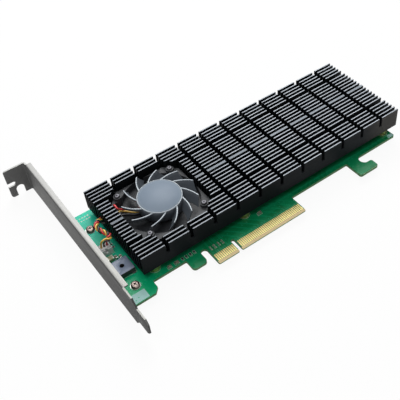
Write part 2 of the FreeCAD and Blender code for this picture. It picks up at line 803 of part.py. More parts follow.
def make_socket_contacts():
    """Solder tails of the sockets, in a row behind each."""
    first = -(tail_count - 1) * tail_pitch / 2
    return [block(socket_start - tail_size[0] / 2, y + first + index * tail_pitch, face, *tail_size)
            for y in socket_heights for index in range(tail_count)]


def make_ssd_spacer(x, y):
    """Stepped nut pressed into the board; the SSD's end rests on it."""
    nut = rod(x, y, back, face, screw_hole).fuse(rod(x, y, face, face + ssd_spacer_height, spacer_diameter))
    return nut.cut(rod(x, y, back - 1, sink_bottom, fan_screw_diameter))


def make_ssd_screws():
    seat = face + ssd_spacer_height
    tip = seat - ssd_screw_depth
    return [pan_screw(x, y, seat, tip, fan_screw_diameter, ssd_screw_head_diameter, ssd_screw_head_height)
            for x, y in ssd_screw_spots]


def make_ssd_pads():
    start = socket_start + socket_depth + ssd_pad_start
    half = ssd_pad_width / 2
    low = sink_bottom - ssd_pad_thickness
    end = start + ssd_pad_length
    return [box(start, end, y - half, y + half, low, sink_bottom) for y in socket_heights]


def near_fan(spots):
    return [(fan_x + x, fan_y + y) for x, y in spots]


def near_bracket(spots):
    return [(bracket_face + x, y) for x, y in spots]


def along_board(spots, size, z=face):
    return [block(x, y, z, *size) for x, y in spots]


def across_board(spots, size):
    length, width, height = size
    return [block(x, y, face, width, length, height) for x, y in spots]


def make_regulators():
    """One chip on the fan's side of each inductor."""
    reach = inductor_size[0] / 2 + regulator_gap + regulator_size[0] / 2
    return along_board([(x - reach, y) for x, y in near_fan(inductor_spots)], regulator_size)


def make_flash():
    (x, y), = near_fan([flash_spot])
    length, width, height = flash_size
    lead_length, lead_reach, lead_height = flash_lead_size
    leads = []
    for side in (-1, 1):
        for index in range(flash_lead_count):
            lead_x = x + (index - (flash_lead_count - 1) / 2) * flash_lead_pitch
            lead_y = y + side * (width + lead_reach) / 2
            leads.append(block(lead_x, lead_y, face, lead_length, lead_reach, lead_height))
    return block(x, y, face + flash_standoff, length, width, height), leads


def coupling_spots():
    first_x, first_y = short_start + coupling_start, key_depth + coupling_rise
    return [(first_x + column * coupling_pitch, first_y + row * coupling_row_pitch)
            for column in range(coupling_columns) for row in range(coupling_rows)]


def header_resistor_spots():
    x, y = header_resistor_start
    return [(x, y - index * header_resistor_pitch) for index in range(header_resistor_count)]


def resistor_row_spots():
    x, y = resistor_row_start
    return [(x + index * resistor_row_pitch, y) for index in range(resistor_row_count)]


def back_capacitor_spots():
    """A square pattern under the switch chip."""
    first = -(back_capacitor_rows - 1) * back_capacitor_pitch / 2
    steps = [first + index * back_capacitor_pitch for index in range(back_capacitor_rows)]
    return [(fan_x + x, fan_y + y) for x in steps for y in steps]


# ---- buzzer, header, plug ----------------------------------------------------------------------
def make_buzzer():
    """The sounder's case, with its hole, and the four soldered feet that it stands on."""
    x, y = bracket_face + buzzer_inset, buzzer_rise
    side = buzzer_size / 2
    low, high = face + buzzer_standoff, face + buzzer_height
    corners = [(x - side, y - side, buzzer_corner), (x + side, y - side, buzzer_corner),
               (x + side, y + side, buzzer_corner), (x - side, y + side, buzzer_corner)]
    case = plate(corners, low, high).cut(rod(x, y, high - buzzer_hole_depth, high + 1, buzzer_hole))
    reach = side - buzzer_pad_inset
    feet = [block(x + dx * reach, y + dy * side, face, *buzzer_pad_size, buzzer_standoff)
            for dx in (-1, 1) for dy in (-1, 1)]
    return case, feet


def make_header():
    """Upright header, open at the top, with a window in its front wall."""
    body = block(header_x, header_y, face, header_width, header_depth, header_height)
    well = block(header_x, header_y, face + header_floor, header_width - 2 * header_wall,
                 header_depth - 2 * header_wall, header_height)
    window = block(header_x, header_front, face + window_rise, window_width, 3 * header_wall,
                   header_height)
    pins = [block(x, y, face - 1, pin_size, pin_size, header_height) for x, y in pin_spots]
    return body.cut(well).cut(window).cut(Part.makeCompound(pins))


def make_pins():
    length = pin_tail + board_thickness + pin_top
    return [block(x, y, back - pin_tail, pin_size, pin_size, length) for x, y in pin_spots]


def make_plug():
    """Plug that stands in the header; each of its cells holds a crimped contact."""
    inset = 2 * (header_wall + plug_clearance)
    floor = face + header_floor
    width, height = plug_window_size
    body = block(header_x, header_y, floor, header_width - inset, header_depth - inset,
                 plug_top - header_floor)
    cells = [block(x, y, floor - 1, crimp_size, crimp_size, plug_top + 1) for x, y in pin_spots]
    windows = [block(x, header_front, face + plug_window_rise, width, header_depth, height)
               for x, _ in pin_spots]
    return body.cut(Part.makeCompound(cells)).cut(Part.makeCompound(windows))


def make_plug_contacts():
    """Crimped sockets: each holds a pin from below and a lead at its top."""
    floor = face + header_floor
    contacts = []
    height = crimp_top - header_floor - crimp_rise
    for x, y in pin_spots:
        shell = block(x, y, floor + crimp_rise, crimp_size, crimp_size, height)
        contacts.append(shell.cut(block(x, y, floor, pin_size, pin_size, pin_top - header_floor)))
    return contacts


# ---- fan leads ---------------------------------------------------------------------------------
def make_lead(route):
    """A round lead of straight runs joined by tangent bends."""
    points = [Vec(bracket_face + inset, y, face + rise) for inset, y, rise in route]

    def cut_end(place, direction):
        return Part.Face(Part.Wire(Part.makeCircle(lead_diameter / 2, place, direction)))

    pieces = []
    last = points[0]
    for before, here, after in zip(points, points[1:], points[2:]):
        arriving, leaving = here - before, after - here
        reach = lead_bend_share * min(arriving.Length, leaving.Length)
        turn = arriving.getAngle(leaving)
        arriving.normalize()
        leaving.normalize()
        axis = arriving.cross(leaving).normalize()
        start = here - arriving * reach
        centre = start + axis.cross(arriving) * (reach / tan(turn / 2))
        pieces.append(cut_end(last, arriving).extrude(start - last))
        pieces.append(cut_end(start, arriving).revolve(centre, axis, degrees(turn)))
        last = here + leaving * reach
    pieces.append(cut_end(last, points[-1] - last).extrude(points[-1] - last))
    return pieces[0].fuse(pieces[1:])


# Points of each lead, from the fan's driver board along a channel of the heatsink and then loosely
# to the plug: (from the bracket's outer face, from the contact edge, above the component face).
red_route = [
    (32.2, 46.5, 7.12), (30.2, 47.1, 7.2), (27.4, 50.4, 7.5), (24.6, 53.2, 9.2), (21.3, 53.78, 8.2),
    (17.6, 53.78, 7.3), (13.4, 53.78, 7.6), (10.4, 53.2, 8.3), (8.4, 50.2, 8.9), (8.7, 46.7, 9.5),
    (10.9, 43.8, 9.7), (13.0, 41.5, 9.2), (12.2, 38.9, 8.4), (9.3, 39.25, 7.5), (9.3, 39.25, 4.1)]
yellow_route = [
    (32.22, 45.35, 7.12), (29.6, 45.8, 7.14), (26.8, 49.3, 7.2), (23.6, 51.48, 7.6), (20.0, 51.48, 7.2),
    (16.6, 51.48, 7.6), (13.4, 51.48, 8.4), (11.2, 48.7, 8.2), (9.5, 45.6, 7.7), (8.4, 42.6, 8.3),
    (6.3, 39.25, 8.0), (6.3, 39.25, 4.1)]
black_route = [
    (32.24, 44.2, 7.12), (29.0, 44.5, 7.14), (26.0, 47.6, 7.14), (23.0, 49.18, 7.3), (19.6, 49.18, 7.14),
    (16.4, 49.18, 7.3), (13.4, 49.18, 6.9), (11.2, 46.6, 6.3), (9.6, 43.4, 6.5), (7.8, 39.25, 7.5),
    (7.8, 39.25, 4.1)]


# ---- build -------------------------------------------------------------------------------------
save("circuit_board", make_board())
save("edge_contacts_front", *make_contacts(face))
save("edge_contacts_back", *make_contacts(back - contact_thickness))
save("slot_bracket", make_bracket())
save("bracket_ears", *[make_bracket_ear(y) for y in bracket_screw_heights])
save("bracket_screws", *make_bracket_screws())
save("screw_lands", *make_lands())
save("heatsink", make_heatsink())
save("heatsink_spacers", *make_spacers())
save("heatsink_screws", *make_sink_screws())

save("fan_frame", make_fan_frame())
save("fan_screws", *make_fan_screws())
save("fan_bearing", ring(fan_x, fan_y, sink_floor + bearing_rise, sink_floor + boss_height,
                         bearing_diameter, bearing_bore))
save("stator_core", make_stator_core())
save("stator_coils", *make_coils())
save("fan_driver_board", make_driver_board())
save("fan_rotor", make_rotor())
save("rotor_yoke", make_yoke())
save("rotor_magnet", make_magnet())
save("rotor_shaft", make_shaft())
save("shaft_clip", make_shaft_clip())
save("hub_label", rod(fan_x, fan_y, hub_top - label_thickness, hub_top, label_diameter))

chip_pad_size = chip_lid_size - 2 * chip_pad_inset
save("switch_chip_substrate", block(fan_x, fan_y, face, chip_size, chip_size, chip_substrate))
save("switch_chip_lid", block(fan_x, fan_y, face + chip_substrate, chip_lid_size, chip_lid_size,
                              chip_lid_thickness))
save("chip_thermal_pad", block(fan_x, fan_y, chip_top, chip_pad_size, chip_pad_size,
                               sink_bottom - chip_top))
save("m2_sockets", *[make_socket(y) for y in socket_heights])
save("m2_socket_contacts", *make_socket_contacts())
save("m2_spacers", *[make_ssd_spacer(x, y) for x, y in ssd_screw_spots])
save("m2_screws", *make_ssd_screws())
save("ssd_thermal_pads", *make_ssd_pads())

flash, flash_leads = make_flash()
save("power_inductors", *along_board(near_fan(inductor_spots), inductor_size))
save("regulator_chips", *make_regulators())
save("flash_chip", flash)
save("flash_chip_leads", *flash_leads)
save("clock_crystal", *along_board(near_fan([crystal_spot]), crystal_size))
save("coupling_capacitors", *across_board(coupling_spots(), small_capacitor_size))
save("front_capacitors", *along_board(near_bracket(edge_capacitor_spots), large_capacitor_size),
     *across_board(near_bracket(buzzer_capacitor_spots), large_capacitor_size))
save("front_resistors", *across_board(near_bracket(resistor_row_spots()), resistor_size),
     *along_board(near_bracket(header_resistor_spots()), resistor_size))
save("tantalum_capacitor", *along_board(near_bracket([tantalum_spot]), tantalum_size))
save("back_capacitors", *along_board(back_capacitor_spots(), small_capacitor_size,
                                     back - small_capacitor_size[2]))

buzzer, buzzer_feet = make_buzzer()
save("buzzer_case", buzzer)
save("buzzer_terminals", *buzzer_feet)
save("fan_header", make_header())
save("fan_header_pins", *make_pins())
save("fan_plug", make_plug())
save("fan_plug_contacts", *make_plug_contacts())
save("lead_red", make_lead(red_route))
save("lead_yellow", make_lead(yellow_route))
save("lead_black", make_lead(black_route))
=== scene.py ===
import json
from math import ceil, cos, pi, radians, sin, tau
from random import Random

import bmesh
import bpy
from mathutils import Matrix, Vector
from mathutils.bvhtree import BVHTree


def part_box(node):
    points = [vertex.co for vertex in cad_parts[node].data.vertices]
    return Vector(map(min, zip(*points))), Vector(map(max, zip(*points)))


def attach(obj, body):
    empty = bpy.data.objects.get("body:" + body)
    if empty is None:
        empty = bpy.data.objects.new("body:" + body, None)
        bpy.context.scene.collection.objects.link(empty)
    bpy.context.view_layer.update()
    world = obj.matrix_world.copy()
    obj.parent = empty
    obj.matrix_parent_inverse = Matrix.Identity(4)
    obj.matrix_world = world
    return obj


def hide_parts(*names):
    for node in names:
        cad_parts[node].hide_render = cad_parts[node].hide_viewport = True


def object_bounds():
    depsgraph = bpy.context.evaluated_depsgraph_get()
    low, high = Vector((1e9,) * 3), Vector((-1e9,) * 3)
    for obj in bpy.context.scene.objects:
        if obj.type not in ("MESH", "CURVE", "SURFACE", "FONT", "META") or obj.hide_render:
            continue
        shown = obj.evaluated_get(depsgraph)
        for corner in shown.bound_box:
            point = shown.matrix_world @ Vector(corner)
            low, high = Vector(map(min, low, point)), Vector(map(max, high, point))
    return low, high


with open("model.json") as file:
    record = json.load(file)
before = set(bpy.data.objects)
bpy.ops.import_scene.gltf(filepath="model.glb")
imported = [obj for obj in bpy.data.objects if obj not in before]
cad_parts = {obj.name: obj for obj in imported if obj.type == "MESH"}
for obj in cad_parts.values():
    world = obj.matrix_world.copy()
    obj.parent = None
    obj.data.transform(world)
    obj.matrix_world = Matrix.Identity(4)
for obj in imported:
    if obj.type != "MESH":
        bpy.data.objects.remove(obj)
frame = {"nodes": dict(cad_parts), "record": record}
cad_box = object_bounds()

# NVMe adapter card, dressed on its CAD frame. Sizes are in millimetres, and MM turns them into the scene's metres.
MM = 0.001

nodes = frame["nodes"]


def box_of(node):
    """A CAD node's box in millimetres: low corner and high corner."""
    return tuple(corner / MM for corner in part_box(node))


def middle_of(low, high):
    """The middle of a box seen from above, as (x, y)."""
    return (low.x + high.x) / 2, (low.y + high.y) / 2


def length_of(points):
    """The length of a line through points."""
    return sum((far - near).length for near, far in zip(points, points[1:]))


def given(thing, **settings):
    """Sets a thing's properties and gives it back."""
    for key, value in settings.items():
        setattr(thing, key, value)
    return thing


# ---- shader expressions ----
def arithmetic(operation):
    """A method that joins a value and its operands by a maths node."""
    return lambda *values: values[0].finish.node("ShaderNodeMath", {"operation": operation}, dict(enumerate(values)))


class Value:
    """A number, colour or vector socket that takes part in Python arithmetic."""

    __add__, __sub__, __mul__, __truediv__ = map(arithmetic, ("ADD", "SUBTRACT", "MULTIPLY", "DIVIDE"))
    __lt__, __gt__, __mod__, __abs__ = map(arithmetic, ("LESS_THAN", "GREATER_THAN", "FLOORED_MODULO", "ABSOLUTE"))

    def __init__(self, finish, socket):
        self.finish = finish
        self.socket = socket

    def ramp(self, low, high, start=0.0, end=1.0):
        """Carries low..high onto start..end, smoothly and held at both ends."""
        return self.finish.node("ShaderNodeMapRange", {"interpolation_type": "SMOOTHSTEP"},
                                {0: self, 1: low, 2: high, 3: start, 4: end})


FINISHES = {}


class Finish:
    """A material of one Principled BSDF, built from expressions and kept under its slot's name, or else its own."""

    def __init__(self, name, slot=None, **plain):
        made = FINISHES[slot or name] = bpy.data.materials.new(name)
        made.use_nodes = True
        self.tree = made.node_tree
        self.shader = self.tree.nodes["Principled BSDF"]
        self.place = self.node("ShaderNodeTexCoord", output="Object")
        self.set(**plain)

    def node(self, kind, settings=None, sockets=None, output=0):
        """Makes a node; settings are set first, then each socket gets a value or a link."""
        made = given(self.tree.nodes.new(kind), **(settings or {}))
        for key, value in (sockets or {}).items():
            self.feed(made.inputs[key], value)
        return Value(self, made.outputs[output])

    def feed(self, socket, value):
        """Gives a socket a value or a link."""
        if isinstance(value, Value):
            self.tree.links.new(value.socket, socket)
        elif socket.type == "RGBA" and len(value) == 3:
            socket.default_value = (*value, 1.0)
        else:
            socket.default_value = value

    def set(self, **values):
        """Feeds the shader's own sockets, by their names."""
        for key, value in values.items():
            self.feed(self.shader.inputs[key.replace("_", " ").title().replace("Ior", "IOR")], value)

    def axis(self, index):
        """Object coordinate along X, Y or Z, in millimetres."""
        parts = self.node("ShaderNodeSeparateXYZ", None, {0: self.place}, output=index)
        return parts / MM

    def facing(self, index):
        """How far the surface faces along X, Y or Z, from -1 to 1."""
        normal = self.node("ShaderNodeNewGeometry", output="True Normal")
        return self.node("ShaderNodeSeparateXYZ", None, {0: normal}, output=index)

    def stretched(self, size):
        """Object coordinates stretched along each axis, so that a pattern on them runs in streaks."""
        return self.node("ShaderNodeMapping", None, {"Vector": self.place, "Scale": size})

    def noise(self, size_mm, detail=3.0, vector=None):
        """Noise from 0 to 1 whose blobs are about size_mm across."""
        return self.node("ShaderNodeTexNoise", None, {"Vector": vector or self.place, "Scale": 1 / (size_mm * MM),
                                                      "Detail": detail, "Roughness": 0.55})

    def mix(self, share, first, second):
        """A colour from first, at share 0, to second, at share 1."""
        return self.node("ShaderNodeMix", {"data_type": "RGBA"}, {"Factor": share, 6: first, 7: second}, output=2)

    def grain(self, pattern, low, high, depth_mm):
        """Carries a pattern into roughness, from low to high, and into relief."""
        self.set(roughness=pattern.ramp(0.3, 0.7, low, high))
        self.bump(pattern, depth_mm)

    def bump(self, height, depth_mm, strength=1.0):
        """Relief from a pattern."""
        made = self.node("ShaderNodeBump", None, {"Height": height, "Distance": depth_mm * MM, "Strength": strength})
        self.set(normal=made)


# ---- finishes ----
BOARD_BACK, BOARD_FRONT = (corner.z for corner in box_of("circuit_board"))
SINK_LOW, SINK_HIGH = box_of("heatsink")
HUB_BOTTOM, HUB_TOP = (corner.z for corner in box_of("fan_rotor"))


def painted_light_near_bracket(f, green, near, far, end):
    """Painted light: fades a green to a paler one towards the bracket, most of all at the board's upper edge, as a
    painted reflection of light off the bracket.
    """
    pale = f.mix(f.axis(1).ramp(10.0, 60.0), near, far)
    return f.mix(f.axis(0).ramp(-56.0, end, 0.9, 0.0), green, pale)


def solder_mask():
    """Green mask over copper in two tones, with painted light making it paler near the bracket; laminate on the cut
    edges, and a gold bevel.
    """
    f = Finish("solder_mask", roughness=0.34, specular_ior_level=0.16, coat_weight=0.03)
    x, y, z = f.axis(0), f.axis(1), f.axis(2)
    upright = abs(f.facing(2))
    cut = upright < 0.6
    bevel = (upright < 0.99) * (upright > 0.6) * (y < 1.4)
    blocks = f.node("ShaderNodeTexVoronoi", {"distance": "CHEBYCHEV"},
                    {"Vector": f.place, "Scale": 1 / (13.0 * MM)}, output="Color")
    pour = f.node("ShaderNodeSeparateColor", None, {0: blocks}).ramp(0.44, 0.46)
    grid = ((x % 3.2) < 0.14) + ((y % 3.2) < 0.14)
    weave = abs((x % 0.9) - 0.45) * abs((y % 0.9) - 0.45)
    cloud = f.noise(12.0)
    green = f.mix(pour, (0.000, 0.170, 0.054), (0.002, 0.220, 0.080))
    green = f.mix(cloud * 0.3, green, (0.002, 0.150, 0.054))
    green = f.mix(grid * pour * 0.14, green, (0.0, 0.09, 0.03))
    # painted light: the green is paled towards the bracket and the board's upper edge
    green = painted_light_near_bracket(f, green, (0.0, 0.46, 0.19), (0.03, 0.72, 0.50), -6.0)
    grain = f.noise(0.25, 2.0)
    layers = ((z + 0.8) % 0.4) < 0.09
    edge = f.mix(grain, (0.030, 0.130, 0.050), (0.14, 0.28, 0.13))
    edge = f.mix(layers * 0.4, edge, (0.30, 0.36, 0.20))
    colour = f.mix(cut, green, edge)
    f.set(base_color=f.mix(bevel, colour, (0.74, 0.60, 0.34)))
    f.set(roughness=cut * 0.35 + f.noise(3.0).ramp(0.3, 0.7, 0.28, 0.40))
    f.bump(weave * 2 + grain * 0.2, 0.01, 0.5)


def trace_mask(name, dark, light):
    """The same mask where it lies over a raised copper track, with the same painted light near the bracket."""
    f = Finish(name, specular_ior_level=0.2, coat_weight=0.05)
    green = f.mix(f.noise(2.0), dark, light)
    f.set(base_color=painted_light_near_bracket(f, green, (0.008, 0.55, 0.26), (0.04, 0.76, 0.54), -12.0))
    f.set(roughness=f.noise(1.5).ramp(0.3, 0.7, 0.26, 0.36))


def ink_and_patch_finish(name, dark, light):
    """Printed ink, a little worn; the same finish also makes the pale patches, one of which is a painted reflection."""
    f = Finish(name)
    worn = f.noise(0.4)
    f.set(base_color=f.mix(worn, dark, light), roughness=f.noise(0.5).ramp(0.2, 0.8, 0.45, 0.6))
    f.bump(worn, 0.004)


def gold_plate():
    """Plated contacts, rubbed along their length."""
    f = Finish("gold_plate", "gold_contacts", metallic=0.9)
    rubbed = f.noise(0.35, vector=f.stretched((4.0, 0.35, 1.0)))
    f.set(base_color=f.mix(rubbed, (0.30, 0.23, 0.088), (0.38, 0.30, 0.13)))
    f.set(roughness=rubbed.ramp(0.2, 0.8, 0.30, 0.44))
    f.bump(rubbed, 0.003)


def plated_sheet():
    """Nickel-plated sheet steel: dark and speckled, with rolling streaks along the bracket; painted light lightens it
    towards its upper end and paints a pale highlight on the upward-facing flange.
    """
    f = Finish("plated_sheet", "bracket_steel", metallic=0.4, specular_ior_level=0.2)
    streak = f.noise(0.35, vector=f.stretched((1.0, 0.03, 1.0)))
    cloud = f.noise(7.0)
    scratch = f.noise(0.10, 2.0, vector=f.stretched((1.0, 0.015, 0.6))).ramp(0.66, 0.72)
    speck = f.noise(0.45, 2.0).ramp(0.42, 0.60, 0.0, 0.28)
    steel = f.mix(cloud, (0.052, 0.052, 0.051), (0.070, 0.070, 0.069))
    steel = f.mix(streak.ramp(0.3, 0.7, 0.0, 0.25), steel, (0.095, 0.095, 0.093))
    steel = f.mix(speck, steel, (0.10, 0.10, 0.098))
    # painted light: the steel is lightened towards the bracket's upper end
    steel = f.mix(f.axis(1).ramp(30.0, 110.0, 0.0, 0.6), steel, (0.16, 0.16, 0.158))
    # painted highlight: faces that look upwards, the flange above all, take this pale colour, lightened further towards
    # the upper end
    pale = f.mix(speck, (0.42, 0.42, 0.40), (0.34, 0.34, 0.33))
    pale = f.mix(f.axis(1).ramp(20.0, 75.0), pale, (0.48, 0.48, 0.468))
    f.set(base_color=f.mix(f.facing(2).ramp(0.6, 0.95), steel, pale))
    f.set(roughness=streak.ramp(0.3, 0.7, 0.54, 0.66) + scratch * 0.08)
    f.bump(streak + scratch * 0.6, 0.006)


def black_anodised():
    """Anodised extrusion: near black with a fine die grain; painted light lightens it towards the right and paints a
    paler right end on its front wall.
    """
    f = Finish("black_anodised", specular_ior_level=0.05)
    grain = f.noise(0.22, vector=f.stretched((0.06, 1.0, 1.0)))
    cloud = f.noise(9.0)
    # painted light: the right end of the front wall is painted paler
    end = (f.axis(1) < SINK_LOW.y + 0.3) * f.axis(0).ramp(SINK_HIGH.x - 26.0, SINK_HIGH.x - 10.0)
    dark = f.mix(cloud, (0.005, 0.0060, 0.0070), (0.009, 0.011, 0.0125))
    # painted light: the black is lightened towards the right end
    dark = f.mix(f.axis(0).ramp(20.0, SINK_HIGH.x, 0.0, 0.8), dark, (0.016, 0.018, 0.021))
    f.set(base_color=f.mix(end, dark, (0.055, 0.053, 0.050)))
    f.grain(grain, 0.44, 0.58, 0.008)


def fin_crest(name, pale):
    """Fin tops pale, partly bare metal from the cutter and partly a painted highlight that brightens towards the right,
    with short scratches along the fins.
    """
    f = Finish(name, specular_ior_level=0.2)
    grain = f.noise(0.22, vector=f.stretched((0.06, 1.0, 1.0)))
    # painted highlight: the crests brighten towards the right, on top of the pale cut metal
    rubbed = f.axis(0).ramp(-45.0, 60.0, 0.62, 0.92) + grain * 0.15
    patch = f.noise(6.0).ramp(0.3, 0.7, 0.85, 1.0)
    f.set(base_color=f.mix(rubbed * patch, (0.02, 0.022, 0.025), pale))
    f.grain(grain, 0.38, 0.52, 0.006)


def rotor_plastic():
    """Glossy fan plastic with a painted highlight on its upper rims that face upwards, and a paler painted sheen on the
    blades' upper part.
    """
    f = Finish("rotor_grey", specular_ior_level=0.45, coat_weight=0.25, coat_roughness=0.25)
    # painted highlight: upward-facing faces near the top are paled
    rim = f.facing(2).ramp(0.25, 0.80) * f.axis(2).ramp(HUB_TOP - 2.2, HUB_TOP - 0.9)
    # painted light: the upper part of each blade is paler
    shoulder = f.axis(2).ramp(HUB_TOP - 3.2, HUB_TOP - 0.5, 0.0, 0.6)
    body = f.mix(f.noise(5.0, 2.0), (0.084, 0.098, 0.114), (0.108, 0.125, 0.145))
    body = f.mix(shoulder, body, (0.21, 0.235, 0.265))
    f.set(base_color=f.mix(rim, body, (0.34, 0.39, 0.43)))
    f.grain(f.noise(0.4, 2.0), 0.30, 0.42, 0.006)


def grained(name, dark, light, low=0.42, high=0.58, grain_mm=0.16, depth_mm=0.012, tone_mm=5.0, detail=3.0,
            tone_detail=3.0, stretch=None, **plain):
    """A fine grain in gloss (low to high) and relief, and a slight change of tone; plain values give eroded plastic."""
    f = Finish(name, **plain)
    f.set(base_color=f.mix(f.noise(tone_mm, tone_detail), dark, light))
    f.grain(f.noise(grain_mm, detail, vector=stretch and f.stretched(stretch)), low, high, depth_mm)


def metal(name, dark, light, low, high, grain_mm=0.2, depth_mm=0.005, tone_mm=2.0, **more):
    """Bare or plated metal."""
    grained(name, dark, light, low, high, grain_mm, depth_mm, tone_mm, metallic=1.0, **more)


def screw_metal(name, dark, light):
    """Plated steel, turned and stamped."""
    metal(name, dark, light, 0.24, 0.38, 0.12, 0.004, 1.2, detail=2.0)


def insulation(name, dark, light):
    """Extruded wire jacket with a soft gloss."""
    grained(name, dark, light, 0.30, 0.42, 0.3, 0.006, 2.5, 2.0, 2.0, coat_weight=0.3)


def label_film():
    """Satin film with a slightly paler margin."""
    f = Finish("label_film", "label_grey")
    low, high = box_of("hub_label")
    x, y = (f.axis(index) - middle for index, middle in enumerate(middle_of(low, high)))
    from_middle = (x * x + y * y) / ((high.x - low.x) / 2) ** 2
    film = f.mix(f.noise(6.0), (0.150, 0.198, 0.258), (0.178, 0.228, 0.292))
    f.set(base_color=f.mix(from_middle.ramp(0.80, 0.86, 0.0, 0.10), film, (0.38, 0.46, 0.50)))
    f.grain(f.noise(0.5), 0.50, 0.60, 0.005)


solder_mask()
trace_mask("track_mask", (0.004, 0.27, 0.11), (0.008, 0.34, 0.15))
grained("via_pit", (0.002, 0.035, 0.015), (0.004, 0.06, 0.026), 0.4, 0.6, 0.2, 0.004)
ink_and_patch_finish("ink", (0.42, 0.50, 0.44), (0.62, 0.68, 0.62))
# pale patches on the board, not ink: the one by the bracket is a painted reflection
ink_and_patch_finish("thin_ink", (0.31, 0.62, 0.57), (0.46, 0.72, 0.68))
gold_plate()
plated_sheet()
screw_metal("screw_nickel", (0.17, 0.135, 0.12), (0.25, 0.205, 0.185))
screw_metal("screw_dark", (0.045, 0.045, 0.05), (0.08, 0.08, 0.088))
metal("tinned_land", (0.36, 0.37, 0.35), (0.46, 0.47, 0.45), 0.30, 0.46, 0.18)
black_anodised()
# fin crests: pale from the cutter, and partly a painted highlight
fin_crest("fin_crest", (0.52, 0.57, 0.63))
fin_crest("wide_crest", (0.27, 0.31, 0.35))
metal("turned_brass", (0.56, 0.40, 0.17), (0.68, 0.50, 0.24), 0.24, 0.38, 0.2, 0.008, 1.5, detail=2.0,
      stretch=(0.05, 0.05, 1.0), slot="brass")
grained("fan_grey", (0.022, 0.024, 0.027), (0.036, 0.039, 0.043), specular_ior_level=0.3)
rotor_plastic()
label_film()
metal("bearing_bronze", (0.34, 0.22, 0.11), (0.44, 0.30, 0.16), 0.4, 0.55)
metal("shaft_steel", (0.45, 0.45, 0.45), (0.55, 0.55, 0.55), 0.12, 0.22)
metal("electrical_steel", (0.20, 0.21, 0.22), (0.30, 0.31, 0.32), 0.35, 0.5)
grained("magnet", (0.030, 0.028, 0.028), (0.045, 0.042, 0.040), 0.5, 0.65)
metal("copper", (0.50, 0.20, 0.08), (0.64, 0.30, 0.14), 0.2, 0.35)
grained("driver_laminate", (0.004, 0.13, 0.055), (0.008, 0.18, 0.08), 0.32, 0.44, 0.4, 0.006)
metal("chip_lid", (0.40, 0.40, 0.41), (0.48, 0.48, 0.49), 0.28, 0.4)
grained("thermal_pad", (0.26, 0.31, 0.37), (0.34, 0.40, 0.46), 0.75, 0.9, 0.3, 0.02)
grained("black_moulding", (0.014, 0.014, 0.016), (0.024, 0.024, 0.027))
metal("tinned_leads", (0.42, 0.42, 0.40), (0.54, 0.54, 0.52), 0.24, 0.40, 0.12)
grained("white_nylon", (0.76, 0.78, 0.77), (0.82, 0.84, 0.83), 0.36, 0.5)
grained("ceramic_tan", (0.16, 0.17, 0.11), (0.24, 0.25, 0.17), 0.5, 0.65, 0.08)
grained("tantalum_tan", (0.36, 0.35, 0.20), (0.44, 0.43, 0.27), 0.45, 0.6)
grained("resistor_black", (0.016, 0.018, 0.021), (0.028, 0.030, 0.034), 0.3, 0.42, 0.08)
insulation("insulation_red", (0.74, 0.035, 0.045), (0.86, 0.10, 0.10))
insulation("insulation_yellow", (0.88, 0.52, 0.06), (0.95, 0.66, 0.17))
insulation("insulation_black", (0.010, 0.010, 0.012), (0.020, 0.020, 0.022))
grained("buzzer_top", (0.155, 0.195, 0.280), (0.205, 0.250, 0.345), 0.3, 0.42)
# painted shade: the inside of the buzzer's sound hole, darker than the case
grained("hole_painted_shade", (0.004, 0.004, 0.005), (0.008, 0.008, 0.009), 0.6, 0.8)

# ---- mesh helpers ----
SHARP = radians(35)


def held(data, name="holder"):
    """Puts a mesh, a curve, a lamp or a camera into the scene as an object."""
    made = bpy.data.objects.new(name, data)
    bpy.context.scene.collection.objects.link(made)
    return made


def settled(made, body, stands_for):
    """Makes an object a piece that rides on a body, for the CAD nodes that it stands for."""
    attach(made, body)
    if stands_for:
        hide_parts(*stands_for)


def piece(name, mesh, finish, stands_for=(), body="card"):
    """A piece from a finished mesh; with several finishes the faces keep their own numbers."""
    numbers = [face.material_index for face in mesh.polygons]
    mesh.materials.clear()
    for each in finish if isinstance(finish, tuple) else (finish,):
        mesh.materials.append(FINISHES[each])
    for face, number in zip(mesh.polygons, numbers):
        face.material_index = number if isinstance(finish, tuple) else 0
    settled(held(mesh, name), body, stands_for)


def drawn(bm, name, smooth=True, turned=True):
    """Turns a bmesh into a mesh; its faces are turned outwards, unless a CAD node has already given them right."""
    if turned:
        bmesh.ops.recalc_face_normals(bm, faces=bm.faces)
    mesh = bpy.data.meshes.new(name)
    bm.to_mesh(mesh)
    bm.free()
    for face in mesh.polygons:
        face.use_smooth = smooth
    return mesh


def evaluated(made):
    """The plain mesh that an object's modifiers give; the object is taken away."""
    graph = bpy.context.evaluated_depsgraph_get()
    mesh = bpy.data.meshes.new_from_object(made.evaluated_get(graph))
    bpy.data.objects.remove(made)
    return mesh


def carved(mesh, cutter):
    """A mesh with another one taken away from it."""
    body, tool = held(mesh), held(cutter, "cutter")
    given(body.modifiers.new("cut", "BOOLEAN"), object=tool, operation="DIFFERENCE", solver="EXACT", use_self=True)
    result = evaluated(body)
    bpy.data.objects.remove(tool)
    return result


def softened(node, finish, width_mm, segments=2, reshape=None, smooth=True):
    """Stands for a CAD node, with its edges broken by a small round; reshape may move its vertices."""
    bm = merged(node)
    for vertex in bm.verts if reshape else ():
        reshape(vertex.co)
    holder = held(drawn(bm, node + "_dressed", smooth, False))
    given(holder.modifiers.new("rounds", "BEVEL"), width=width_mm * MM, segments=segments, limit_method="ANGLE",
          angle_limit=SHARP, harden_normals=smooth)
    piece(node + "_dressed", evaluated(holder), finish, (node,))


def merged(node):
    """A bmesh of a CAD node with its doubles merged and its flat faces joined."""
    bm = bmesh.new()
    bm.from_mesh(nodes[node].data)
    bmesh.ops.remove_doubles(bm, verts=bm.verts, dist=0.0005 * MM)
    bmesh.ops.dissolve_limit(bm, angle_limit=radians(0.5), verts=bm.verts, edges=bm.edges)
    return bm


